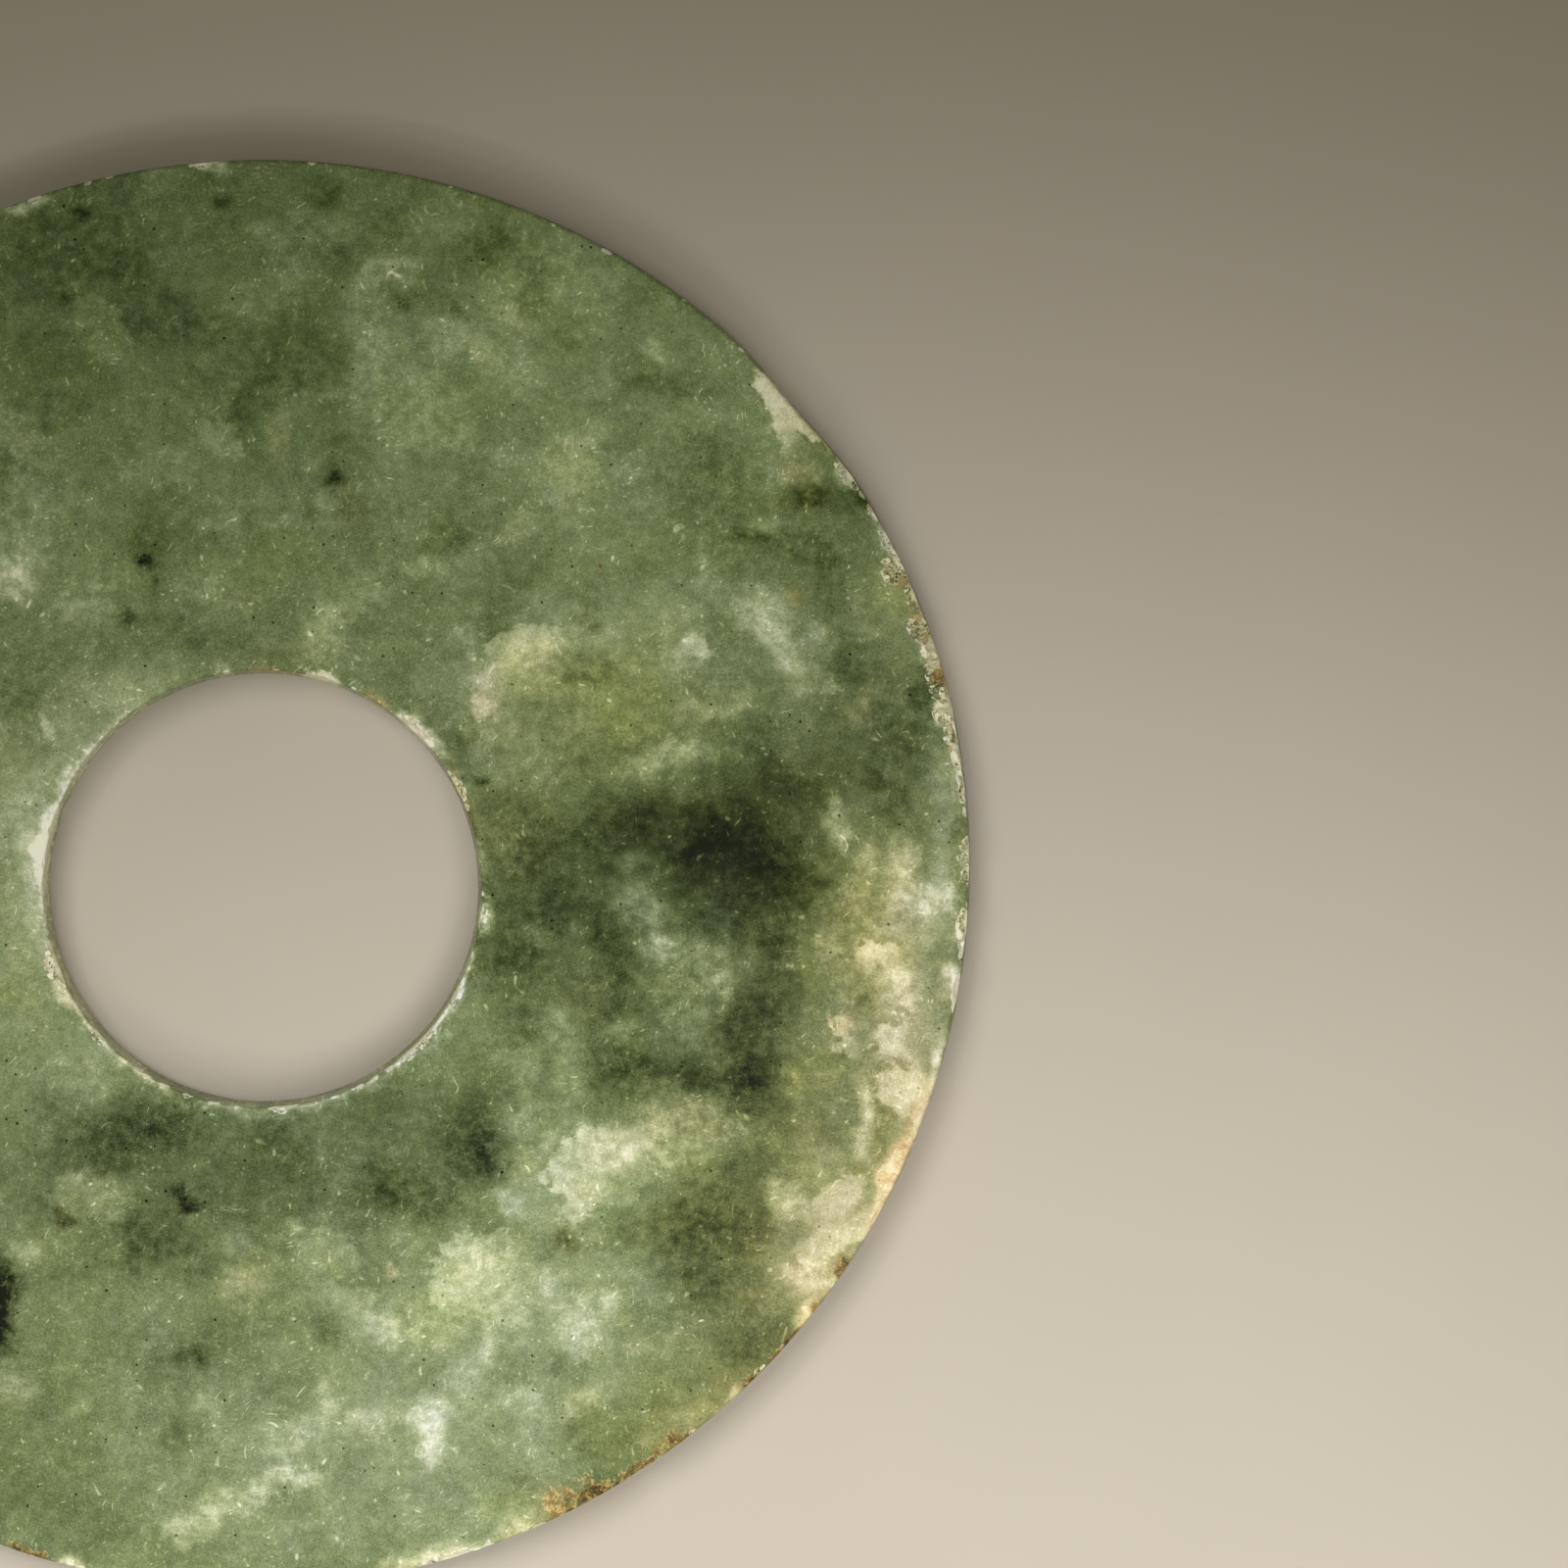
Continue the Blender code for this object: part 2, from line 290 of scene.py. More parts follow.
softClouds = [
    # top left
    (-14, 53, 13, 9, 0, -0.055, 0.1, 0), (-11, 51, 4, 3, 0, -0.03, 0.2, 0),
    (-6.5, 46.5, 9, 4, -10, -0.055, 0, 0), (3.5, 44, 6, 7, 0, -0.055, 0.1, 0),
    (-1, 41, 8, 4.5, 0, -0.04, 0, 0), (-0.5, 38.5, 4, 3, 0, -0.04, 0.1, 0),
    (5.5, 57, 4, 2.6, 0, -0.05, 0.3, 0), (7, 52, 4, 3, 0, -0.04, 0.1, 0),
    (11, 55, 5, 2.5, 0, -0.035, 0.2, 0), (1.2, 53.8, 3, 4, 0, 0.045, -0.2, 0),
    (0, 48.5, 4.5, 3.5, 20, 0.05, -0.1, 0), (5.2, 54, 3, 2.4, 0, 0.045, 0, 0),
    (-7.5, 58.3, 2.6, 2, 0, 0.04, -0.2, 0), (-8, 51.8, 3, 1.6, 0, 0.05, -0.3, 0),
    (3.5, 50.8, 4, 2, 10, 0.04, -0.3, 0), (-20, 46.5, 3, 2, 0, 0.04, 0, 0),
    (-16, 49, 2.5, 2.5, 0, 0.04, 0, 0), (-3, 47, 3, 3, 0, 0.03, 0.1, 0.1),
    (-1.8, 41.3, 1.6, 2, 0, 0.05, 0, 0.2), (11, 50.8, 5, 3, 10, 0.10, 0, 0),
    (9.5, 47, 4, 5, 0, 0.06, -0.2, 0), (8.8, 42.5, 3, 5, -15, 0.08, -0.3, 0),
    (16.3, 45, 5.5, 3.2, 0, 0.08, 0.1, 0), (13.5, 41.8, 3, 2, 0, 0.06, 0, 0),
    (12.5, 38.5, 8, 5, 0, 0.05, 0.2, 0), (16.8, 36.4, 2.4, 2, 0, 0.08, 0, 0),
    (16.5, 40.5, 2, 1.4, 0, 0.05, 0, 0), (5, 40, 3, 1.4, 20, 0.04, 0, 0.2),
    (2, 36.8, 1.8, 3.6, -15, 0.05, 0, 0.35), (-7, 34.5, 5, 4, 30, 0.035, -0.2, 0),
    (-3, 30.5, 4, 2, 20, 0.04, -0.1, 0), (1.5, 30, 4, 1, 30, 0.05, -0.2, 0),
    (6, 31.5, 2.6, 1.6, 0, 0.06, 0, 0.1), (-18, 32, 6, 5, 30, 0.05, -0.2, 0),
    (-20.5, 27, 6, 6, 0, 0.07, -0.1, 0), (-20.5, 24.6, 4.5, 3, -20, 0.12, 0, 0.1),
    (-21.5, 38, 2.5, 4, 0, 0.08, -0.1, 0), (-19.5, 36, 2, 4, -20, 0.05, 0, 0.1),
    (-13, 24, 5, 5, 0, 0.06, 0.1, 0), (-15.5, 22.5, 3, 2, 0, 0.05, -0.1, 0),
    (-4, 24.5, 5, 3, 0, 0.03, 0, 0), (-1, 22.5, 3, 2, 0, 0.04, 0, 0.1),
    (6.5, 22, 6, 4, 40, 0.05, 0.3, 0), (10.5, 23.5, 4, 3, 0, 0.05, 0, 0),
    (14.5, 26.6, 3.6, 1.8, 0, 0.08, -0.1, 0), (18, 27, 4, 4, 0, 0.04, -0.3, 0),
    (2, 27, 5, 4, 0, -0.01, 0.4, 0), (-17.5, 39.5, 7, 3.5, 0, -0.04, 0.1, 0),
    (-20, 34.8, 5, 2, 0, -0.04, 0, 0), (-9.5, 28.3, 3.4, 4, 0, -0.045, 0.4, 0),
    (-8, 31.5, 3, 2, 0, -0.03, 0.1, 0), (8, 37, 3, 2, 0, -0.03, 0.1, 0),
    (8.2, 31, 2.4, 3, 0, -0.02, 0.3, 0.3), (7, 34, 2, 2, 0, -0.02, 0.2, 0.2),
    (16.3, 29, 4.5, 3, 10, -0.05, 0.4, 0), (17, 47.6, 1.6, 2.4, 30, -0.06, 0.4, 0),
    (12, 47.8, 1.6, 1.8, 0, -0.09, 0, 0), (18.5, 52.3, 5, 3, 0, -0.05, 0.2, 0),
    (18, 57, 3, 1.5, -20, -0.04, 0.2, 0), (-14.8, 55, 1.2, 1.4, 0, -0.14, 0, 0),
    (-3, 56.8, 1.6, 1.2, 0, -0.09, 0.1, 0), (-16, 48.3, 1.0, 2, -10, -0.08, 0, 0),
    (6.8, 32.9, 1.7, 1.5, 20, -0.13, 0.1, 0.1), (-9.6, 26.6, 1.2, 1.2, 0, -0.16, -0.1, 0),
    (-9, 24.5, 0.8, 0.8, 0, -0.08, 0, 0), (-10.6, 21.9, 1.4, 1, 0, -0.12, 0, 0),
    # top right
    (22.5, 52, 8, 4, -20, -0.05, 0.3, 0), (20, 54, 4, 3, 0, -0.03, 0.2, 0),
    (24, 48, 3, 2.2, 0, -0.06, 0.4, 0), (26.5, 44.8, 3.6, 3, 0, -0.04, 0.3, 0),
    (28.5, 49, 6, 5, 0, 0.04, 0.1, 0), (30, 53.5, 16, 3.4, -32, -0.01, -0.5, 0),
    (39, 47, 12, 3, -45, -0.03, -0.2, 0), (20.5, 48.8, 4.5, 5, 0, 0.04, 0.2, 0),
    (22.5, 47, 3, 2.4, 0, 0.05, 0, 0.1), (21, 43.5, 4, 4, 0, 0.03, 0, 0),
    (18.8, 44, 2, 5, 0, 0.04, 0.3, 0), (28.5, 41, 3, 3, 0, 0.04, -0.3, 0),
    (23, 41.5, 3, 3, 0, 0.035, 0, 0), (33.8, 43.8, 1.4, 1.8, 20, 0.11, -0.1, 0),
    (34.8, 41.2, 5.5, 1.8, 0, -0.07, 0.2, 0), (28, 36.8, 4.5, 2.2, 10, 0.07, 0, 0.1),
    (26.8, 33.6, 5.5, 3.5, 0, 0.08, 0.5, 0), (20.5, 34.4, 3, 2, 0, 0.05, -0.2, 0),
    (25.5, 30.7, 5, 1.8, -25, 0.06, 0.1, 0.1), (21.5, 28.6, 2, 2.6, 0, 0.055, 0, 0.1),
    (31.8, 34, 3, 2.6, 0, 0.06, -0.3, 0), (32.5, 30.5, 4, 3, 0, 0.03, -0.3, 0),
    (37, 34.5, 6, 6, 0, -0.03, 0.1, 0), (40.5, 33.5, 5, 4, 0, -0.04, 0.2, 0),
    (38.5, 29, 9, 6, 0, -0.03, 0.3, 0), (38, 36.5, 4, 2.5, 0, -0.03, 0, 0),
    (35.5, 36, 3, 4, 0, 0.02, -0.1, 0), (46.2, 31.6, 5, 2.6, 0, -0.13, 0.6, 0.3),
    (51.5, 32.5, 4, 3.5, -40, -0.08, 0, 0), (43.2, 28, 5.5, 2, -10, -0.08, 0.2, 0),
    (47, 26.8, 5, 2.4, -10, -0.06, 0.2, 0), (42.6, 29.6, 2.4, 1.4, 0, 0.05, 0, 0),
    (49.5, 29, 5, 4, 0, 0.01, -0.3, 0), (48.3, 23.3, 3, 5, 10, -0.05, 0.1, 0),
    (49.5, 18, 3, 5, 0, -0.05, 0.1, 0), (53.5, 24, 4, 6, 0, 0.02, 0.5, 0),
    (52, 20, 3, 3, 0, 0.02, 0, 0), (38.2, 25.3, 2.2, 5, 18, 0.06, 0, 0),
    (35, 24, 5, 3, 0, 0.02, 0.1, 0), (40.5, 27, 1.6, 1.6, 0, 0.03, 0, 0),
    (42.5, 22.3, 5, 4, -30, 0.12, 0.1, 0), (44, 19.3, 2.4, 4, 20, 0.12, 0, 0),
    (45.8, 17.2, 3, 3, 0, 0.09, 0.1, 0.1), (46.8, 21, 1, 2.4, -30, 0.08, -0.2, 0),
    (45, 23.3, 1.2, 1.2, 0, 0.0, 0.3, 0.9), (35, 22, 3, 2, 0, 0.03, 0, 0),
    (28, 22.8, 2.2, 3, 0, -0.04, 0.3, 0.1), (21.5, 23.5, 4, 4, 0, -0.02, -0.1, 0),
    (20, 21, 3, 2.6, 0, -0.05, 0, 0), (29.2, 21.4, 1.2, 0.9, 0, -0.09, 0, 0),
    (33, 25.5, 3, 2.4, 0, -0.02, 0.3, 0), (48.5, 35.6, 2.6, 1.6, 20, -0.02, 0.3, 0),
    (45.8, 34, 2.8, 2.2, 0, 0.04, 0.2, 0.5),
    # middle right, with the inky patch
    (27, 14, 17, 12, 0, 0.045, 0.9, 0.1), (28, 17.6, 6, 3, 10, -0.06, 0.3, 0.1),
    (23.5, 18, 5, 6, 0, 0.04, 0.3, 0.1), (34.5, 9.3, 8, 2.6, 12, 0.09, 0.1, 0),
    (36.2, 10.3, 3, 2.4, 0, 0.05, 0, 0), (38.2, 13.7, 5, 1.8, 10, 0.08, 0, 0.1),
    (40.3, 9.7, 3.4, 1.6, 0, 0.05, 0, 0), (41, 14.5, 2.5, 2, 0, 0.04, 0, 0),
    (35.5, 17.8, 3, 3, -45, 0.04, -0.2, 0), (38.5, 17, 4, 3, 0, 0.02, -0.3, 0),
    (32, 13, 5, 4, 0, 0.02, 0.5, 0), (48, 16, 1.4, 1.8, 20, 0.10, -0.1, 0),
    (51, 14.2, 1.6, 3, 0, 0.07, 0, 0.4), (43, 12, 4, 5, 0, -0.03, 0, 0),
    (53.8, 11.5, 4.5, 7, 0, -0.05, 0, 0), (56.3, 15.3, 2.2, 3.4, 20, -0.09, 0, 0),
    (53.6, 6.5, 3, 3.4, 0, -0.05, 0.1, 0), (52.3, 9, 2, 2, 0, -0.03, 0, 0),
    (45.5, 7.5, 7, 4, 0, -0.03, 0.2, 0.1), (40, 3, 7, 4, -10, -0.03, 0.5, 0),
    (41.5, 2.4, 9, 5.5, -20, -0.02, 0.2, 0), (34.5, 5.0, 11, 3, 4, -0.03, 0.2, 0.1),
    (44, 0.3, 7, 4.4, -30, -0.03, 0.5, 0), (37, 1.7, 4, 3, 0, -0.04, 0, 0),
    (46, -1.5, 3.4, 4, 0, -0.03, 0.2, 0), (29.5, 4, 5, 2.5, 0, -0.02, 0, 0),
    (42, -4, 10, 5, -10, -0.03, 0, 0), (27.5, 1.5, 8, 5, 0, -0.02, -0.1, 0),
    (22, 4, 7, 6, 0, -0.06, 0.2, 0.2), (22.5, -3.5, 8, 8, 0, -0.06, 0, 0),
    (32.3, 1.4, 3, 1.6, 0, 0.07, -0.3, 0), (35.8, 2.8, 1.4, 2.6, 0, 0.06, -0.5, 0),
    (32.3, -2.6, 3, 5, 30, 0.08, -0.6, 0), (38.5, -2.2, 3, 3, 0, 0.03, -0.4, 0),
    (33.2, -6.2, 2.4, 2.2, -30, 0.15, -0.5, 0), (35.6, -6.3, 4, 2.6, 0, 0.10, 0, 0),
    (38.7, -8.8, 2.2, 3.6, 10, 0.11, 0.1, 0), (35.5, -9.5, 6, 4, 0, 0.06, 0.1, 0),
    (38.7, -6, 1.4, 1.4, 0, 0.08, -0.2, 0), (35, -13, 4, 3.5, 0, 0.05, -0.3, 0),
    (30.8, -12.8, 3, 2, 30, 0.05, -0.2, 0), (38, -12.5, 3, 4, 0, 0.04, 0, 0),
    (27.4, -4.3, 1.4, 1.2, 0, 0.10, -0.4, 0), (24.2, -5.6, 2.6, 2.6, 0, 0.06, -0.4, 0),
    (25.8, -13, 3, 3, 0, 0.06, 0, 0), (22.6, -16.4, 3, 3.6, 20, 0.06, 0.1, 0),
    (26.5, -16.5, 2.4, 4, 0, 0.05, 0.2, 0), (30.2, -6, 2.6, 8, 5, -0.07, 0.1, 0),
    (30.3, -10.8, 3.4, 2, 0, -0.05, 0, 0), (28, -10, 3, 5, 0, -0.03, 0.2, 0.1),
    (22.2, -9, 6, 6, 0, -0.05, 0, 0), (22.5, -13.2, 4, 3, 0, -0.05, 0, 0),
    (41.8, -13.8, 5, 6, 0, -0.09, 0.1, 0), (43.5, -9, 4, 6, 0, -0.06, 0.1, 0),
    (38, -16.5, 12, 2.6, 0, -0.07, 0.1, 0), (30, -16.5, 5, 4, -20, -0.07, 0.2, 0),
    (42.5, -18.5, 5, 3, 0, -0.06, 0.1, 0), (44.2, -5.5, 3, 4, 0, -0.06, 0.2, 0),
    (50.5, -3.5, 8, 12, 0, 0.06, 0.6, 0.1), (49.2, 4.3, 1.8, 4.6, 10, 0.17, -0.2, 0),
    (51.7, 2, 1.6, 3, 0, 0.08, 0, 0.1), (54.8, 2.0, 2.6, 3, 0, 0.10, 0, 0.1),
    (54.2, -0.8, 2.4, 4, -20, 0.13, 0, 0.2), (57.2, -1.8, 4.2, 3, 10, 0.20, -0.2, 0),
    (58.2, 3, 2.4, 6, 0, 0.04, -0.6, 0), (57.8, 8.2, 3, 5, 0, 0.05, -0.3, 0),
    (53.5, 9.2, 1, 1.6, 0, 0.08, -0.3, 0), (57, -5, 4, 2, 20, 0.05, 0.2, 0),
    (50.3, -1.6, 2, 3, -30, 0.06, 0, 0.2), (48.6, -6.2, 2.4, 2, 0, 0.07, 0, 0.1),
    (49.5, -9.3, 3, 3, 0, 0.06, 0.2, 0), (46.8, -9, 2, 6, 0, 0.03, 0.6, 0),
    (47, -16.5, 5, 5, 0, 0.02, 0.7, 0.1), (45.3, -16.5, 2.2, 2.4, 0, 0.05, 0.2, 0),
    (54, -8, 5, 9, 20, 0.05, 0.1, 0.1), (51.8, -10.5, 2, 3, 30, -0.05, 0.2, 0),
    (50.6, -20.3, 1.4, 6, -5, 0.14, 0, 0.1), (52.3, -21.5, 1.6, 5, 10, -0.04, 0.5, 0.1),
    # lower right
    (36.3, -20, 8, 4.4, -12, 0.11, 0, 0.3), (31.3, -22, 6, 4, 30, 0.10, 0, 0.2),
    (26.5, -21.6, 4, 2, 20, 0.08, 0, 0), (41, -21.3, 2.6, 3.4, 0, 0.05, -0.2, 0),
    (35.5, -24, 6, 3.4, -20, 0.10, 0.2, 0.1), (39, -28, 8, 6, 0, -0.05, 0.4, 0.2),
    (34, -29.5, 8, 3, 10, -0.04, 0.4, 0.1), (38, -32.5, 8, 7, 0, -0.07, 0.3, 0),
    (42, -35, 3, 2, 0, 0.03, 0.2, 0.2), (42.5, -31, 3, 4, 0, -0.02, 0.3, 0.1),
    (22.6, -20, 2.6, 3.4, 0, 0.10, -0.3, 0), (21.8, -27.6, 2, 3.2, 0, 0.10, -0.6, 0),
    (23.5, -24, 3, 4, 0, 0.04, 0.3, 0), (19.8, -24, 3, 5, 0, -0.07, -0.2, 0),
    (26.4, -30.6, 3, 1.5, -10, -0.09, 0.3, 0.4), (24.8, -31.5, 3, 3, 0, -0.03, 0.1, 0),
    (24.6, -34.6, 2.6, 3, 0, 0.09, 0, 0), (27.3, -38, 4, 4, 30, 0.11, -0.1, 0),
    (29.6, -35.6, 1.6, 2.2, 20, 0.13, -0.1, 0), (27.5, -35, 3, 2, 30, 0.05, 0, 0),
    (33, -34, 4, 4, 0, 0.02, -0.4, 0), (35, -38.4, 1.4, 1.2, 0, 0.05, 0, 0),
    (31.8, -39.6, 2, 1, 0, 0.06, 0, 0.2), (27.5, -44.3, 5.5, 2.4, 35, 0.08, 0, 0.2),
    (25.5, -41, 5, 2.6, 0, -0.03, 0, 0), (22, -44.6, 4, 2, 0, 0.07, -0.1, 0),
    (33, -44.5, 14, 7, 20, 0.0, 0.4, 0), (28.5, -47.2, 6, 4, 0, -0.03, 0.4, 0.1),
    (41.5, -38.5, 7, 6, 45, -0.04, 0.3, 0), (23.5, -51.5, 4, 3, 0, -0.03, 0.1, 0.2),
    (24, -47.5, 3, 3, 0, 0.03, 0, 0), (21, -53, 4, 2.4, 0, 0.02, 0.5, 0),
    (44.6, -26.6, 3, 3.4, 0, 0.11, 0, 0), (52.6, -26.8, 2, 6, -25, 0.10, 0.3, 0.6),
    (46.8, -33.4, 5, 3, 10, 0.13, 0.1, 0.4), (46.4, -36.6, 2.4, 2, 45, 0.12, 0.3, 0.4),
    (53.8, -23.6, 1.6, 3, -20, 0.06, 0.1, 0.4), (50.5, -24.2, 3, 2.4, 0, -0.03, 0.4, 0.1),
    (47, -24.5, 3, 3, 0, 0.02, 0.5, 0), (45.5, -21.5, 6, 5, 0, 0.02, 0.6, 0.1),
    # lower left
    (-11.5, -22, 9, 5.5, 10, -0.09, 0, 0), (-6, -21, 5, 4, 0, -0.05, -0.1, 0),
    (1, -21.5, 8, 3, 0, -0.04, 0, 0), (3, -24, 8, 4, 0, -0.03, 0.2, 0),
    (18, -22.5, 5, 7, 0, -0.08, 0, 0), (13.5, -26.8, 7, 4, -20, -0.07, 0.1, 0),
    (9.5, -27.5, 5, 4, 0, -0.03, 0, 0), (-10, -30.5, 5, 6, 0, -0.06, 0.1, 0),
    (-5.5, -31.5, 4, 4, 0, -0.04, 0, 0), (-10.3, -33, 3, 3, 0, -0.03, 0.2, 0),
    (-12, -27.5, 3.4, 4, 0, 0.05, 0.1, 0), (-19.3, -31.6, 2.6, 2, -20, 0.09, 0, 0.1),
    (-17, -30.5, 3, 3, 0, 0.03, 0.3, 0), (-1, -34, 4.5, 3.4, 20, 0.08, 0, 0.3),
    (-1.5, -31, 2, 2, 0, 0.05, -0.4, 0), (10.6, -38, 4.4, 2.6, -30, 0.10, 0, 0),
    (18, -32, 4, 3.4, 0, 0.05, 0, 0), (15.5, -37, 7, 5, 0, 0.07, 0.4, 0),
    (21, -37.5, 4, 5, 0, 0.06, 0.2, 0), (6, -38.5, 3, 3, 0, -0.05, -0.1, 0),
    (-3.5, -39.2, 4, 2.4, 20, -0.035, 0.3, 0), (-6.5, -47, 2, 3, 0, -0.03, 0.4, 0),
    (-20, -42.8, 3, 3.6, 0, 0.07, -0.2, 0.1), (-15, -45.3, 2, 1.6, 0, 0.06, 0, 0),
    (-3.6, -44.6, 1.8, 2.2, 0, 0.07, 0.1, 0), (3, -46.7, 4.4, 3, 25, 0.08, 0.1, 0),
    (5.6, -44, 2.2, 2.2, 30, 0.09, 0.1, 0), (9.3, -45.6, 4, 2.2, 0, 0.08, 0.1, 0.1),
    (14.8, -46.3, 3, 4, -15, 0.18, -0.2, 0), (15, -49, 3, 2, 0, 0.10, 0, 0),
    (17.6, -42, 4, 2.4, 40, 0.07, 0, 0), (19.3, -40, 1.4, 2, 0, 0.07, 0, 0),
    (3.4, -50.2, 4, 2, -10, 0.16, 0, 0), (0.8, -52, 3, 2.2, 60, 0.12, 0, 0),
    (-3.5, -53.4, 6, 2.4, 30, 0.11, 0.1, 0), (-6.6, -55.3, 1.6, 2.6, 30, 0.11, 0.1, 0.1),
    (10, -51.8, 1.6, 1.2, 0, -0.06, 0, 0), (-5.4, -27.2, 2, 1.3, -15, -0.19, 0.2, 0.1),
    (-16.2, -28.8, 1.3, 1.4, 40, -0.15, 0.3, 0.4), (-4.8, -41.3, 1.8, 1.8, 0, -0.13, 0, 0),
    (-13, -25.2, 1.2, 0.8, 0, -0.08, 0.2, 0.2), (-21.8, -36, 3, 8, 0, -0.24, -0.2, 0),
    (3.5, -29.7, 1, 1.0, 0, 0.20, 0, 0), (11.3, -33.3, 0.9, 0.9, 0, 0.15, 0.3, 0.8),
    # round the hole
    (-18.9, 2, 5, 12, 0, 0.05, -0.1, 0), (-20.5, -9.5, 3, 4, 0, 0.02, 0.6, 0),
    (-13, 11.5, 3, 2, 45, 0.05, 0, 0.1), (3, 18.8, 8, 2.6, 0, 0.02, 0.3, 0.1),
    (6, 19.8, 2.4, 3, 30, 0.05, 0.2, 0), (-17.5, 12.9, 1, 1.1, 0, 0.15, -0.1, 0),
    (-20.5, 15.5, 5, 6, 0, -0.05, 0.1, 0), (-19, 21.5, 5, 4, 0, -0.02, 0, 0),
    (-6.5, 20, 5, 3, 0, -0.03, 0.1, 0), (18, 20.6, 2.6, 2, 0, 0.08, -0.2, 0),
    (13.5, 14.5, 2.4, 2, -40, -0.04, 0.4, 0), (17.5, 12.2, 3, 2, 0, -0.06, 0.5, 0),
    (19.3, 8, 1.1, 1, 0, -0.14, 0, 0), (-14, -16.5, 6, 4, 0, 0.03, 0.1, 0),
]

# Clouds with a crisp side. The last number is the direction that it faces.
crispClouds = [
    (-12.8, 45.3, 6.5, 4.5, -45, 0.07, 0, 0, 55), (-2.7, 37.2, 3.6, 3.6, 0, 0.09, -0.3, 0, 35),
    (22.8, 19.6, 6.5, 3.6, 8, 0.14, 0.15, 0, 110), (22.0, 18.3, 4, 2.2, 20, 0.10, 0.2, 0.1, 130),
    (19.2, 14.5, 3, 3, 50, 0.14, 0, 0.5, 200), (19.6, 16.5, 4, 1.8, 30, 0.08, 0, 0.1, 130),
    (36.8, 19.3, 2.4, 2.4, 0, 0.20, -0.2, 0, 0), (44.2, 39.2, 7, 3.4, -62, 0.31, 0.1, 0.4, 190),
    (46.8, 37.2, 3.4, 1.6, -40, 0.26, 0.1, 0.5, 240), (44.8, 27.5, 3, 0.8, -25, 0.09, 0, 0, 90),
    (52.4, -6.4, 3.4, 2, 30, 0.18, 0.1, 0.4, 120), (54.8, -9.2, 5.5, 1.7, -58, 0.14, 0.1, 0.3, 220),
    (49, -12.5, 2.2, 1.6, 30, 0.22, 0.2, 0.6, 200), (49.6, -14.4, 2.6, 1.8, -30, 0.16, -0.2, 0, 200),
    (53.8, -13.8, 3.4, 3.6, 0, 0.17, 0, 0.2, 130), (54.3, -18, 4.6, 4.6, -40, 0.18, 0, 0.4, 160),
    (56.3, -20, 3, 6, -20, 0.12, 0.2, 0.6, 180), (29, -24, 9, 5.5, 20, 0.22, 0.1, 0.1, 190),
    (27, -27.6, 4, 3, 50, 0.18, 0.2, 0.1, 300), (48.5, -27, 5.6, 3, 35, 0.13, -0.1, 0.2, 110),
    (48.8, -30, 7, 3.4, 30, 0.13, 0, 0.3, 270), (-15, -26.5, 5, 3.4, 25, 0.08, 0.1, 0.1, 120),
    (6, -31.2, 4.6, 3.6, -20, 0.09, 0, 0, 50), (7.6, -35.3, 3.6, 2.6, -20, 0.07, -0.1, 0, 30),
    (19, -33.5, 10, 7, 10, 0.14, 0.2, 0, 130), (30.8, -25.4, 7.5, 4.4, 22, 0.10, 0.1, 0, 290),
]

# The hole's edge with its painted highlights, pale glint lines, and its wall, painted paler as painted
# light.
holeGlintsAndWallLight = {
    "glints": [              # painted highlight lines: from angle, to angle, strength
        (-62, -18, 0.36), (-108, -66, 0.12), (150, 200, 0.12), (205, 245, 0.16), (28, 62, 0.08),
    ],
    "glintReach": 0.42,      # how far the lines reach into the face
    "glintFade": 0.3,        # over what width they fade there
    "glintEnds": 8,          # and over what angle at their ends
    "lumpSize": 0.9,         # the lines come and go
    "lumpSeed": 31,
    "wallReach": 0.3,
    "wallFade": 0.2,
    "wallPaintedLight": 0.10,
    "wallYellow": 0.3,
}

# Marks on the rim: angle, length along it, reach into the face, lightness, yellow, blush.
rimMarks = [
    (34.1, 2.4, 0.9, 0.22, -0.3, 0), (27.6, 4.6, 0.8, 0.16, -0.4, 0), (24.4, 3.2, 1.4, -0.02, 0.2, 0.2),
    (21.0, 4.0, 1.2, 0.03, 0.2, 0.3), (18.0, 3.0, 1.4, 0.34, 0.2, 0.2), (16.2, 2.2, 1.4, 0.10, 0.6, 0.2),
    (14.2, 3.6, 1.7, 0.24, 0.2, 0), (11.6, 3.0, 1.0, 0.02, 0, 0.1), (8.0, 5.0, 0.5, 0.02, 0, 0.1),
    (3.2, 3.0, 0.9, -0.06, 0, 0.1), (-1.2, 3.2, 0.8, -0.04, 0, 0.1), (-4.1, 1.4, 0.7, 0.14, 0, 0.3),
    (-8.5, 2.4, 1.0, 0.22, 0, 0.3), (-14.8, 5.0, 0.9, 0.14, -0.2, 0), (-23.5, 7.0, 1.6, 0.04, 0.4, 0.8),
    (-29.2, 2.6, 1.2, 0.02, 0.5, 0.8), (-37.4, 3.4, 1.0, 0.06, 0.4, 0.5), (-48.0, 3.0, 0.7, 0.14, 0, 0.2),
    (-54.2, 4.0, 0.9, -0.04, 0.4, 0.5), (-64.5, 3.4, 2.4, 0.04, 0.5, 0.5), (-68.5, 4.0, 1.6, 0.14, 0.4, 0.4),
    (-76.0, 9.0, 1.5, 0.15, 0.1, 0.3), (-105.0, 3.0, 1.3, 0.24, 0.2, 0.4), (93.5, 1.6, 0.8, 0.18, -0.2, 0),
    (110.0, 6.0, 1.0, 0.14, -0.4, 0), (118.0, 7.0, 1.2, 0.12, -0.3, 0), (140.0, 8.0, 1.4, 0.12, 0.2, 0.4),
    (171.0, 5.0, 1.3, 0.16, 0.3, 0.5), (232.0, 6.0, 1.8, 0.14, 0.3, 0.5),
]

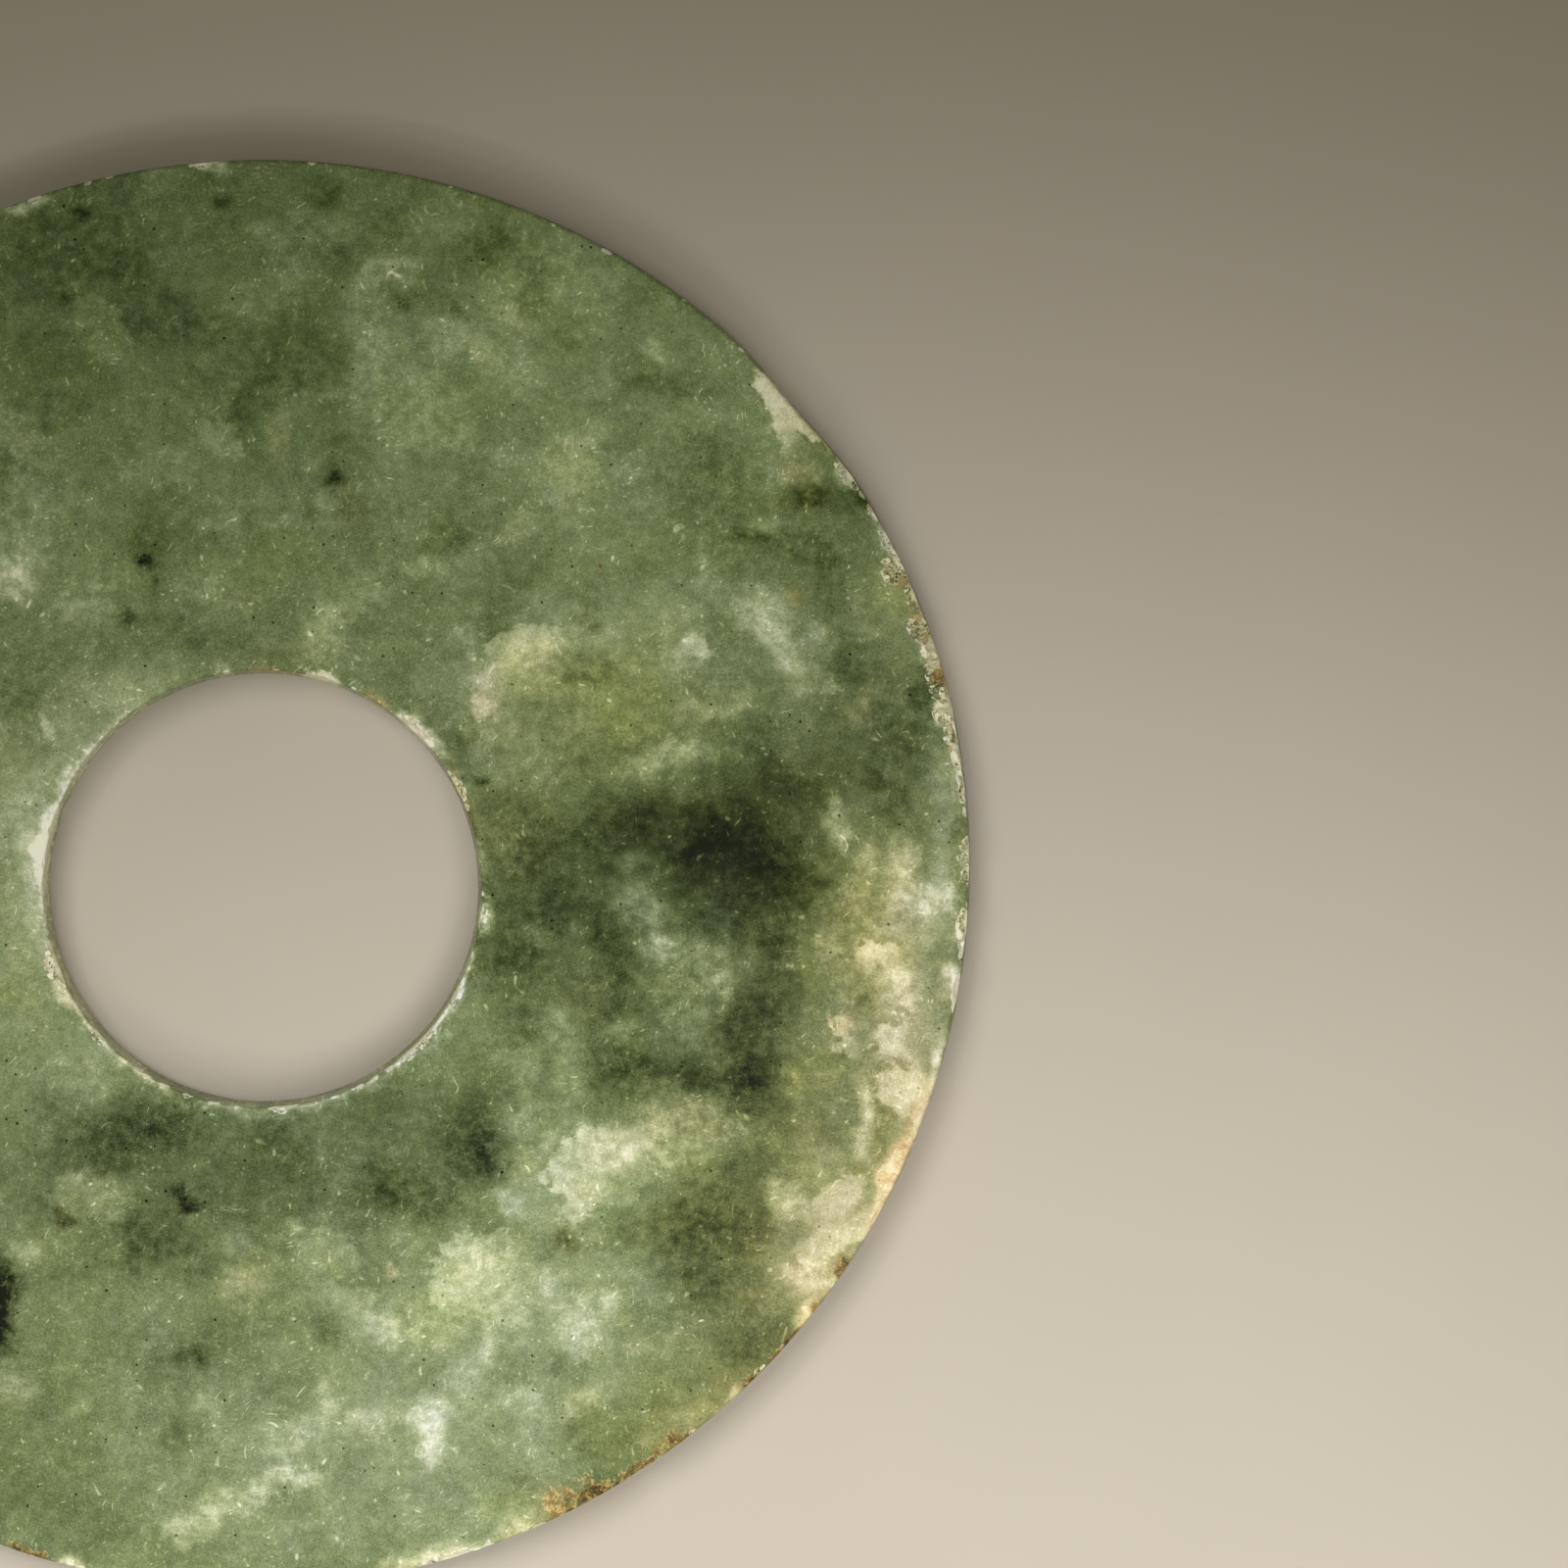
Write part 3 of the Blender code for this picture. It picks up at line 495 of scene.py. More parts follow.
# Rust on the rim: angle, length along it, reach into the face, strength.
rustMarks = [
    (24.6, 2.0, 1.0, 0.55), (20.4, 3.0, 1.2, 0.50), (16.1, 2.2, 1.7, 0.80), (11.6, 2.6, 1.0, 0.45),
    (-23.0, 5.0, 0.5, 0.30), (-27.6, 2.6, 0.6, 0.45), (-33.4, 1.7, 1.1, 0.90), (-36.6, 2.4, 0.9, 0.75),
    (-41.0, 5.0, 0.6, 0.85), (-45.4, 4.0, 0.9, 0.85), (-53.3, 3.0, 0.9, 0.90), (-57.6, 7.0, 1.0, 0.80),
    (-60.9, 4.0, 1.4, 1.10), (-63.8, 4.0, 2.2, 0.75), (-108.5, 3.0, 1.0, 0.90), (140.0, 4.0, 0.8, 0.50),
    (200.0, 6.0, 1.0, 0.85), (243.0, 3.0, 1.0, 0.90), (168.0, 3.0, 0.8, 0.60),
]

# Marks on the hole's edge, in the same way.
holeMarks = [
    (102.0, 1.6, 0.9, 0.12, 0, 0.1), (73.0, 2.2, 1.0, 0.38, 0.2, 0.2), (86.0, 5.0, 0.5, 0.02, 0.8, 1.0),
    (45.0, 3.8, 1.1, 0.26, 0.1, 0.3), (58.0, 2.6, 0.5, 0.03, 0.8, 1.0), (27.0, 7.0, 0.9, 0.07, 0, 0.1),
    (22.0, 8.0, 0.4, -0.06, 0.7, 0.8), (8.0, 3.0, 0.9, 0.08, -0.1, 0), (-8.0, 2.6, 1.0, 0.20, -0.1, 0),
    (-22.0, 6.0, 0.5, 0.06, -0.4, 0), (-36.0, 9.0, 0.4, 0.06, -0.5, 0), (-56.0, 9.0, 0.4, 0.06, -0.5, 0),
    (-78.0, 10.0, 0.7, 0.05, -0.3, 0), (-98.0, 4.0, 0.8, 0.11, 0, 0.1), (-120.0, 8.0, 0.6, 0.10, 0, 0.2),
    (-147.0, 4.0, 0.7, 0.10, 0, 0.2), (-157.0, 6.0, 0.8, 0.10, 0.2, 0.3), (174.0, 8.0, 1.6, 0.10, -0.1, 0),
    (163.0, 4.4, 0.8, 0.24, 0.3, 0), (172.0, 4.0, 0.8, 0.12, 0.2, 0),
    (147.0, 5.0, 1.2, 0.15, -0.1, 0), (130.0, 4.0, 0.8, 0.04, 0, 0.1),
]

# What the photograph doesn't show: how many clouds lie beyond its edge, and where.
hiddenClouds = {
    "count": 78,
    "fromX": -60.0,
    "toX": -23.0,
    "seed": 12,
    "length": (2.0, 9.0),
    "slimness": (0.4, 1.0),  # width as a share of the length
    "lightness": (-0.07, -0.05, -0.04, 0.04, 0.06, 0.09, 0.13),
    "yellow": (-0.3, 0.5),
    "blush": (0, 3),         # times the lightness of a pale cloud
}


def smoothStep(share):
    share = numpy.clip(share, 0, 1)
    return share * share * (3 - 2 * share)


def cloudReach(x, y, cloud):
    # How far each point is from a cloud's middle, as a share of the way to its outline.
    turn = math.radians(cloud[4])
    along = (x - cloud[0]) * math.cos(turn) + (y - cloud[1]) * math.sin(turn)
    across = (y - cloud[1]) * math.cos(turn) - (x - cloud[0]) * math.sin(turn)
    return numpy.hypot(along / (cloud[2] / 2), across / (cloud[3] / 2))


def cloudCover(x, y, cloud, edge):
    # 1 inside a cloud, and less across its outline, which is as wide as the edge says.
    return smoothStep((1 - cloudReach(x, y, cloud)) / edge + 0.5)


def addHue(paint, cloud, cover):
    paint["yellow"] += cloud[6] * cover
    paint["blush"] += cloud[7] * cover


def paintHoleLight(points, paint):
    # The pale lines on the hole's edge, which are painted highlights, and its wall, painted a little paler
    # as painted light, and yellower.
    fromHole = points[:, :2] - (disc["holeX"], disc["holeY"])
    past = numpy.hypot(fromHole[:, 0], fromHole[:, 1]) - disc["holeUpper"] / 2
    angle = numpy.degrees(numpy.arctan2(fromHole[:, 1], fromHole[:, 0]))
    upper = smoothStep((points[:, 2] - disc["thickness"] + 0.4) / 0.15)
    uneven = numpy.clip(0.7 + worldNoise(points, holeGlintsAndWallLight["lumpSize"], holeGlintsAndWallLight["lumpSeed"]), 0, 1.4)
    # painted highlights: the glint lines along the hole's upper edge
    glintMask = upper * smoothStep((holeGlintsAndWallLight["glintReach"] - past) / holeGlintsAndWallLight["glintFade"]) * uneven
    for start, end, strength in holeGlintsAndWallLight["glints"]:
        away = numpy.abs((angle - (start + end) / 2 + 180) % 360 - 180)
        along = smoothStep(((end - start) / 2 - away) / holeGlintsAndWallLight["glintEnds"] + 0.5)
        paint["frost"] += strength * glintMask * along
    # painted light: the hole's wall is painted paler to stand in for light it doesn't get, and yellower
    inside = smoothStep((holeGlintsAndWallLight["wallReach"] - past) / holeGlintsAndWallLight["wallFade"]) * (1 - upper)
    paint["lightness"] += holeGlintsAndWallLight["wallPaintedLight"] * inside
    paint["yellow"] += holeGlintsAndWallLight["wallYellow"] * inside


def edgeClouds(marks, radius, outward):
    # Turns marks on an edge into clouds whose length lies along that edge.
    clouds = []
    for degrees, length, reach, *paints in marks:
        angle = math.radians(degrees)
        edge = edgePoint(radius - outward * reach * 0.25, angle)
        clouds.append((edge[0], edge[1], length, reach * 1.5, degrees + 90, *paints))
    return clouds


def strayClouds():
    # Clouds in keeping with the rest, for the part of the disc that the photograph doesn't show.
    dice = random.Random(hiddenClouds["seed"])
    clouds = []
    for number in range(hiddenClouds["count"]):
        x = dice.uniform(hiddenClouds["fromX"], hiddenClouds["toX"])
        y = dice.uniform(-disc["rim"], disc["rim"])
        length = dice.uniform(*hiddenClouds["length"])
        lightness = dice.choice(hiddenClouds["lightness"])
        yellow = dice.uniform(*hiddenClouds["yellow"])
        blush = max(0.0, lightness) * dice.uniform(*hiddenClouds["blush"])
        turn = dice.uniform(0, 180)
        width = length * dice.uniform(*hiddenClouds["slimness"])
        clouds.append((x, y, length, width, turn, lightness, yellow, blush))
    return clouds


# The stone's broad colour, before its clouds.
stone = {
    "lightness": 0.478,
    # Mottles and warp are given by size, strength and seed.
    "mottles": [(11.0, 0.0352, 5), (4.5, 0.048, 6), (2.0, 0.0448, 7)],
    "yellowMottles": [(7.0, 0.35, 8), (2.4, 0.25, 9)],
    "warp": [(7.0, 0.9, 11), (2.6, 0.8, 12), (1.2, 0.45, 13)],   # how clouds' outlines wander
    "broadEdge": 1.7,        # width of an outline, as a share of the cloud
    "softEdge": 1.3,
    "crispEdge": 1.6,        # width of a gate's ramp, in mm
    "contrast": 1.42,        # strength of the soft clouds
    "undersideShare": 0.7,   # the underside is plainer
}


def paintStone(points):
    # What the stone's material needs at each point, by the attribute's name.
    x = points[:, 0].copy()
    y = points[:, 1].copy()
    for size, strength, seed in stone["warp"]:
        x += strength * worldNoise(points, size, seed)
        y += strength * worldNoise(points, size, seed + 20)
    names = ("lightness", "frost", "shade", "yellow", "blush", "crisp", "rust")
    paint = {name: numpy.zeros(len(points)) for name in names}
    for size, strength, seed in stone["mottles"]:
        paint["lightness"] += strength * worldNoise(points, size, seed)
    for size, strength, seed in stone["yellowMottles"]:
        paint["yellow"] += strength * worldNoise(points, size, seed)

    for cloud in broadClouds:
        cover = cloudCover(x, y, cloud, stone["broadEdge"])
        paint["lightness"] += cloud[5] * cover
        addHue(paint, cloud, cover)

    # pale soft clouds add up as frost, and dark ones as shade; the hole's painted glint lines are also added
    # to the frost
    soft = softClouds + strayClouds()
    soft += edgeClouds(rimMarks, disc["rim"], 1) + edgeClouds(holeMarks, disc["holeUpper"] / 2, -1)
    for cloud in soft:
        cover = cloudCover(x, y, cloud, stone["softEdge"])
        paint["frost"] += max(0, cloud[5]) * stone["contrast"] * cover
        paint["shade"] += max(0, -cloud[5]) * stone["contrast"] * cover
        addHue(paint, cloud, cover)

    for cloud in edgeClouds(rustMarks, disc["rim"], 1):
        cover = cloudCover(x, y, cloud, stone["softEdge"])
        paint["rust"] = numpy.maximum(paint["rust"], cloud[5] * cover)
    paintHoleLight(points, paint)

    # the strongest crisp cloud at a point also says where its gate, the crisp outline, is open
    paint["gate"] = numpy.ones(len(points))
    for cloud in crispClouds:
        reach = cloudReach(x, y, cloud)
        side = numpy.cos(numpy.arctan2(y - cloud[1], x - cloud[0]) - math.radians(cloud[8]))
        facing = smoothStep(side * 0.9 + 0.5)
        strength = cloud[5] * smoothStep((1.25 + 0.35 * facing - reach) / 0.9)
        gate = 0.5 + (1 - reach) * math.sqrt(cloud[2] * cloud[3]) / 2 / stone["crispEdge"]
        gate = numpy.clip(1 - facing * (1 - gate), 0, 1)
        stronger = strength > paint["crisp"]
        paint["crisp"] = numpy.where(stronger, strength, paint["crisp"])
        paint["gate"] = numpy.where(stronger, gate, paint["gate"])
        addHue(paint, cloud, cloudCover(x, y, cloud, stone["softEdge"]))

    share = stone["undersideShare"] + (1 - stone["undersideShare"]) * points[:, 2] / disc["thickness"]
    for name in names:
        paint[name] *= share
    paint["lightness"] += stone["lightness"]
    return paint


def addAttribute(mesh, name, values):
    layer = mesh.attributes.new(name, "FLOAT", "POINT")
    layer.data.foreach_set("value", values.astype(numpy.float32))


def makeDisc():
    shape = bmesh.new()
    ring = [shape.verts.new((radius, 0.0, height)) for radius, height in discSection()]
    for first, second in zip(ring, ring[1:] + ring[:1]):
        shape.edges.new((first, second))
    axis = {"cent": (0, 0, 0), "axis": (0, 0, 1), "dvec": (0, 0, 0)}
    sector = 2 * math.pi / disc["sectors"]
    section = shape.verts[:] + shape.edges[:]
    bmesh.ops.spin(shape, geom=section, angle=sector, steps=disc["sectorSteps"], **axis)
    whole = shape.verts[:] + shape.edges[:] + shape.faces[:]
    others = disc["sectors"] - 1
    bmesh.ops.spin(shape, geom=whole, angle=sector * others, steps=others, use_duplicate=True, **axis)
    bmesh.ops.remove_doubles(shape, verts=shape.verts, dist=disc["mergeDistance"])
    fromAxis = {vertex: math.hypot(vertex.co.x, vertex.co.y) for vertex in shape.verts}
    # the edges that run round the rim, which are halved
    fine = [
        edge for edge in shape.edges
        if min(fromAxis[vertex] for vertex in edge.verts) > disc["rim"] - disc["fineBand"]
        and abs(fromAxis[edge.verts[0]] - fromAxis[edge.verts[1]]) < disc["sameRing"]
        and abs(edge.verts[0].co.z - edge.verts[1].co.z) < disc["sameRing"]
    ]
    bmesh.ops.subdivide_edges(shape, edges=fine, cuts=1, use_grid_fill=True, use_single_edge=True)
    points = shapeByHand(numpy.array([vertex.co[:] for vertex in shape.verts]))
    broken = numpy.zeros(len(points))
    breakChips(points, broken)
    print("chips broken from", len(points), "points")
    paint = paintStone(points)
    paint["broken"] = broken
    print("clouds painted")
    upper = smoothStep((points[:, 2] - disc["thickness"] + 0.05) / 0.05)
    wave = 0.5 + 0.5 * worldNoise(points, disc["faceWaveSize"], 15)
    points[:, 2] -= disc["faceWave"] * upper * wave
    for vertex, point in zip(shape.verts, points):
        vertex.co = Vector(point) * mm + Vector((0, 0, lowest.z))
    bmesh.ops.recalc_face_normals(shape, faces=shape.faces)
    mesh = bpy.data.meshes.new("jadeDisc")
    shape.to_mesh(mesh)
    shape.free()
    for name, values in paint.items():
        addAttribute(mesh, name, values)
    mesh.shade_smooth()
    mesh.set_sharp_from_angle(angle=math.radians(disc["sharpAngle"]))
    piece = bpy.data.objects.new("jadeDisc", mesh)
    bpy.context.collection.objects.link(piece)
    return piece


def linear(red, green, blue):
    # A colour given as on a screen, 0 to 255, in the linear values that a shader takes.
    parts = []
    for value in (red / 255, green / 255, blue / 255):
        parts.append(value / 12.92 if value <= 0.04045 else ((value + 0.055) / 1.055) ** 2.4)
    return (parts[0], parts[1], parts[2], 1.0)


class Wire:
    # One socket of a material's nodes. Sums on wires add Math nodes.

    def __init__(self, tree, socket=None):
        self.tree = tree
        self.socket = socket

    def node(self, kind, settings=None, inputs=None, outlet=0):
        # Adds any node: its settings first, then the values or wires of its sockets.
        # A list of outlets gives a list of wires.
        made = self.tree.nodes.new(kind)
        for name, value in (settings or {}).items():
            if name == "stops":
                stops = made.color_ramp.elements
                while len(stops) < len(value):
                    stops.new(0.5)
                for stop, (place, colour) in zip(stops, value):
                    stop.position = place
                    stop.color = colour
            else:
                setattr(made, name, value)
        for name, value in (inputs or {}).items():
            if isinstance(value, Wire):
                self.tree.links.new(value.socket, made.inputs[name])
            else:
                made.inputs[name].default_value = value
        if isinstance(outlet, list):
            return [Wire(self.tree, made.outputs[name]) for name in outlet]
        return Wire(self.tree, made.outputs[outlet])

    def maths(self, operation, first, second):
        return self.node("ShaderNodeMath", {"operation": operation}, {0: first, 1: second})

    def __add__(self, other):
        return self.maths("ADD", self, other)

    def __radd__(self, other):
        return self.maths("ADD", other, self)

    def __sub__(self, other):
        return self.maths("SUBTRACT", self, other)

    def __rsub__(self, other):
        return self.maths("SUBTRACT", other, self)

    def __mul__(self, other):
        return self.maths("MULTIPLY", self, other)

    def __rmul__(self, other):
        return self.maths("MULTIPLY", other, self)

    def __rpow__(self, other):
        return self.maths("POWER", other, self)

    def between(self, low, high, start=0.0, end=1.0):
        # A smooth step from start to end as this wire goes from low to high.
        inputs = {"Value": self, "From Min": low, "From Max": high, "To Min": start, "To Max": end}
        return self.node("ShaderNodeMapRange", {"interpolation_type": "SMOOTHSTEP"}, inputs)

    def mixed(self, other, factor, blend="MIX"):
        # This colour with another over it.
        settings = {"data_type": "RGBA", "blend_type": blend}
        return self.node("ShaderNodeMix", settings, {0: factor, 6: self, 7: other}, 2)


def newMaterial(name):
    material = bpy.data.materials.new(name)
    material.use_nodes = True
    material.node_tree.nodes.clear()
    start = Wire(material.node_tree)
    surface = material.node_tree.nodes.new("ShaderNodeBsdfPrincipled")
    output = material.node_tree.nodes.new("ShaderNodeOutputMaterial")
    material.node_tree.links.new(surface.outputs[0], output.inputs["Surface"])
    return material, start, surface


def feed(wire, surface, name):
    wire.tree.links.new(wire.socket, surface.inputs[name])


# The jade's colours, its fine pattern and its gloss.
jade = {
    "colours": [             # lightness and the colour there
        (0.10, (22, 26, 10)), (0.20, (48, 56, 25)), (0.30, (74, 84, 46)), (0.40, (98, 109, 67)),
        (0.50, (123, 134, 89)), (0.60, (149, 158, 113)), (0.70, (177, 183, 142)), (0.80, (204, 206, 168)),
        (0.92, (230, 228, 200)),
    ],
    "rust": [(0.38, (42, 33, 16)), (0.48, (98, 76, 32)), (0.58, (148, 118, 54)), (0.74, (200, 176, 120))],
    "redDot": (112, 48, 34),
    "fibreTurn": -58.0,      # the fibres lean up to the right
    "otherTurn": 12.0,       # and some lie across them
    # Lumps are given by how many lie on a millimetre, their detail and their roughness.
    "patchy": (0.5, 3, 0.55),
    "mottle": (1.0, 5, 0.62),
    "grain": (5.0, 2, 0.6),
    "dust": (11.0, 1, 0.55),
    "streaks": (1.6, 3, 0.6),
    "tint": (1.5, 4, 0.65),
    "fade": (0.45, 2, 0.55),
    "ticks": (1.0, 2, 0.55),
    # Dots lie in cells: cells on a millimetre, the share with a dot, its radius and its soft edge.
    "fibreNeedles": (1.2, 0.45, 0.19, 0.14),
    "crossNeedles": (1.15, 0.4, 0.17, 0.12),
    "bentNeedles": (1.6, 0.45, 0.18, 0.16),
    # painted highlights: tiny bright dots painted as glints
    "glintDots": (1.3, 0.35, 0.09, 0.08),
    "pits": (1.2, 0.20, 0.10, 0.10),
    "redDots": (0.16, 0.5, 0.022, 0.012),
    "crumbs": (2.8, 0.6, 0.28, 0.16),
    # What each adds to the lightness.
    "mottleTone": 0.20,
    "grainTone": 0.30,
    "dustTone": 0.26,
    "patchyTone": 0.10,
    "fleckTone": 0.13,
    "flakeTone": 0.05,
    "pitTone": -0.30,
    "pepperTone": -0.13,
    "tickTone": 0.16,
    "crumbTone": -0.75,
    "brokenTone": 2.4,
    "brokenEdgeHighlightTone": 0.42,
    "roughness": 0.26,
    "bumpStrength": 0.35,
    "bumpDepth": 0.03,       # in millimetres
    "scatterWeight": 0.08,
    "scatterRadius": (0.9, 1.2, 0.7),
    "refraction": 1.61,
    "specular": 0.05,
}


def jadeMaterial():
    material, start, surface = newMaterial("jade")
    coordinates = start.node("ShaderNodeTexCoord", outlet="Object")
    place = start.node("ShaderNodeMapping", None, {"Vector": coordinates, "Scale": (1 / mm,) * 3})
    wander = start.node("ShaderNodeTexNoise", None, {"Vector": place, "Scale": 0.3, "Detail": 1}, "Color")
    bending = {0: wander, 1: (4, 4, 0), 2: place}
    bent = start.node("ShaderNodeVectorMath", {"operation": "MULTIPLY_ADD"}, bending)

    def stretched(degrees, scale):
        turn = (0.0, 0.0, math.radians(degrees))
        turned = start.node("ShaderNodeMapping", None, {"Vector": bent, "Rotation": turn})
        return start.node("ShaderNodeMapping", None, {"Vector": turned, "Scale": scale})

    fibres = stretched(jade["fibreTurn"], (0.9, 3.6, 2.0))
    crossed = stretched(jade["otherTurn"], (1.1, 2.7, 1.6))

    def attribute(name):
        return start.node("ShaderNodeAttribute", {"attribute_name": name}, outlet="Fac")

    def lumps(vector, name):
        # Soft noise, with its middle at 0.5.
        scale, detail, roughness = jade[name]
        inputs = {"Vector": vector, "Scale": scale, "Detail": detail, "Roughness": roughness}
        return start.node("ShaderNodeTexNoise", None, inputs)

    def cells(vector, name):
        # Dots in a share of the cells, 1 at their middle, of random size and strength.
        scale, share, radius, soft = jade[name]
        inputs = {"Vector": vector, "Scale": scale}
        outlets = ["Distance", "Color"]
        distance, tint = start.node("ShaderNodeTexVoronoi", {"feature": "F1"}, inputs, outlets)
        parts = ["Red", "Green", "Blue"]
        chance, size, strength = start.node("ShaderNodeSeparateColor", None, {"Color": tint}, parts)
        reach = distance + size * (radius * 0.6)
        dot = reach.between(radius, radius + soft, 1, 0) * chance.between(1 - share, 1 - share + 0.02)
        return dot * (strength * 0.7 + 0.3)

    def ramp(stops, factor):
        screenStops = [(spot, linear(*colour)) for spot, colour in stops]
        return start.node("ShaderNodeValToRGB", {"stops": screenStops}, {"Fac": factor})

    lightness = attribute("lightness")
    frost = attribute("frost")
    shade = attribute("shade")
    yellow = attribute("yellow")
    blush = attribute("blush")
    rust = attribute("rust")
    depth = attribute("broken")
    broken = depth.between(0.02, 0.25)
    # painted highlight: a pale line along the inner edge of the broken surfaces
    brokenEdgeHighlight = depth.between(0.02, 0.08) * depth.between(0.10, 0.35, 1, 0)

    patchy = lumps(place, "patchy")
    mottle = lumps(place, "mottle")
    grain = lumps(place, "grain")
    dust = lumps(place, "dust")
    streaks = lumps(fibres, "streaks")
    wisps = mottle.between(0.34, 0.66)
    crowded = patchy.between(0.36, 0.64, 0.15, 1)
    needles = cells(fibres, "fibreNeedles") + cells(crossed, "crossNeedles") + cells(bent, "bentNeedles")
    # painted highlights: tiny bright dots painted as glints, which join the flecks
    glintDots = cells(place, "glintDots")
    flecks = (streaks.between(0.58, 0.74) * 0.4 + needles * 1.9) * crowded + glintDots * 1.8
    tint = lumps(bent, "tint")
    fade = lumps(bent, "fade")
    flakes = tint.between(0.53, 0.57) * fade.between(0.48, 0.66)
    pits = cells(place, "pits")
    redDots = cells(place, "redDots")
    pepper = grain.between(0.50, 0.64) * lightness.between(0.20, 0.38, 1, 0)
    crumbs = cells(bent, "crumbs")

    # short scratches across the hole's edge, from its drilling
    x, y = start.node("ShaderNodeSeparateXYZ", None, {"Vector": place}, ["X", "Y"])
    x, y = x - disc["holeX"], y - disc["holeY"]
    mouth = disc["holeUpper"] / 2
    past = start.maths("SQRT", x * x + y * y, 0.0) - mouth
    along = start.maths("ARCTAN2", y, x) * mouth
    across = start.node("ShaderNodeCombineXYZ", None, {"X": along * 2.2 + past * 1.2, "Y": past * 0.6})
    ticks = lumps(across, "ticks").between(0.56, 0.64) * past.between(0.3, 1.3, 1, 0)
    ticks = ticks * patchy.between(0.40, 0.56)

    gate = (attribute("gate") + (mottle - 0.5) * 1.7).between(0.36, 0.64)
    # frost holds the pale clouds and the hole's painted glint lines
    tone = lightness + frost * (wisps * 0.6 + 0.7) - shade * (1.3 - wisps * 0.6)
    tone = tone + attribute("crisp") * gate * (wisps * 0.3 + 0.85)
    tone = tone + (mottle - 0.5) * jade["mottleTone"] + (grain - 0.5) * jade["grainTone"]
    tone = tone + (dust - 0.5) * jade["dustTone"] + (patchy - 0.5) * jade["patchyTone"]
    tone = tone + flecks * jade["fleckTone"] + flakes * jade["flakeTone"] + pits * jade["pitTone"]
    tone = tone + pepper * jade["pepperTone"] - 0.03
    breaks = (grain * 0.6 + mottle * 0.4 - 0.38) * jade["brokenTone"] + crumbs * jade["crumbTone"]
    # the broken surfaces, with a painted highlight along their inner edge, and the drilling's scratches
    tone = tone + broken * breaks + brokenEdgeHighlight * jade["brokenEdgeHighlightTone"] + ticks * jade["tickTone"]
    colour = ramp(jade["colours"], tone)
    hue = start.node("ShaderNodeCombineColor", None, {
        "Red": 1.35 ** (blush * tone.between(0.60, 0.85, 1, 0.35)),
        "Green": 1.0,
        "Blue": 0.78 ** (yellow + (patchy - 0.5) * 0.8 - (tint - 0.5) * 1.4),
    })
    colour = colour.mixed(hue, 1.0, "MULTIPLY")
    colour = colour.mixed(linear(*jade["redDot"]), redDots * 0.8)

    # rust, which also lodges in the broken surfaces
    rustCover = (rust + (mottle - 0.5) * 2.2 + (grain - 0.5) * 1.0 - 0.10).between(0.20, 0.75) * 0.9
    rustCover = rustCover * rust.between(0.05, 0.30) + broken * tint.between(0.50, 0.60) * 0.35
    rustColour = ramp(jade["rust"], grain * 0.6 + mottle * 0.5 + tint * 0.9 - rust * 0.24 - 0.28)
    colour = colour.mixed(rustColour, rustCover)
    feed(colour, surface, "Base Color")
    rough = broken * 0.3 + (mottle - 0.5) * 0.25 + jade["roughness"]
    feed(rough, surface, "Roughness")
    relief = {"Height": grain, "Strength": jade["bumpStrength"], "Distance": jade["bumpDepth"] * mm}
    bump = start.node("ShaderNodeBump", None, relief)
    feed(bump, surface, "Normal")
    surface.inputs["IOR"].default_value = jade["refraction"]
    surface.inputs["Specular IOR Level"].default_value = jade["specular"]
    surface.inputs["Subsurface Weight"].default_value = jade["scatterWeight"]
    surface.inputs["Subsurface Radius"].default_value = jade["scatterRadius"]
    surface.inputs["Subsurface Scale"].default_value = mm
    return material


# The floor and the lights, in metres. Each light is a bank of small lamps with one aim, so its
# shadows are soft. All aim below the disc's middle, and fall off towards the top of the picture.
studio = {
    "floorSize": 3.0,
    "floorColour": (184, 174, 156),
    "floorPaler": 1.04,      # how much paler its faint lumps are
    "floorLumps": 60.0,      # lumps on a metre
    "floorRoughness": 0.85,
    "floorGap": 0.00005,     # how far it lies below the disc
    "world": (1.0, 0.90, 0.57, 1.0),
    "worldStrength": 0.160,
    "lampRadius": 0.05,
    "lampColour": (0.975, 1.0, 1.065),
    "lights": [
        # name, place, aim, radius of the bank, lamps in it, their power together, cone in degrees
        ("keyLight", (-0.34, 0.30, 1.15), (0.023, -0.133, 0.0), 0.34, 16, 40.5, 19.3),
        ("fillLight", (0.40, -0.30, 1.12), (0.099, -0.146, 0.0), 0.34, 12, 33.3, 21.8),
        ("wideLight", (-0.10, -0.95, 1.50), (0.021, -0.861, 0.0), 0.60, 14, 80.0, 74.8),
    ],
}


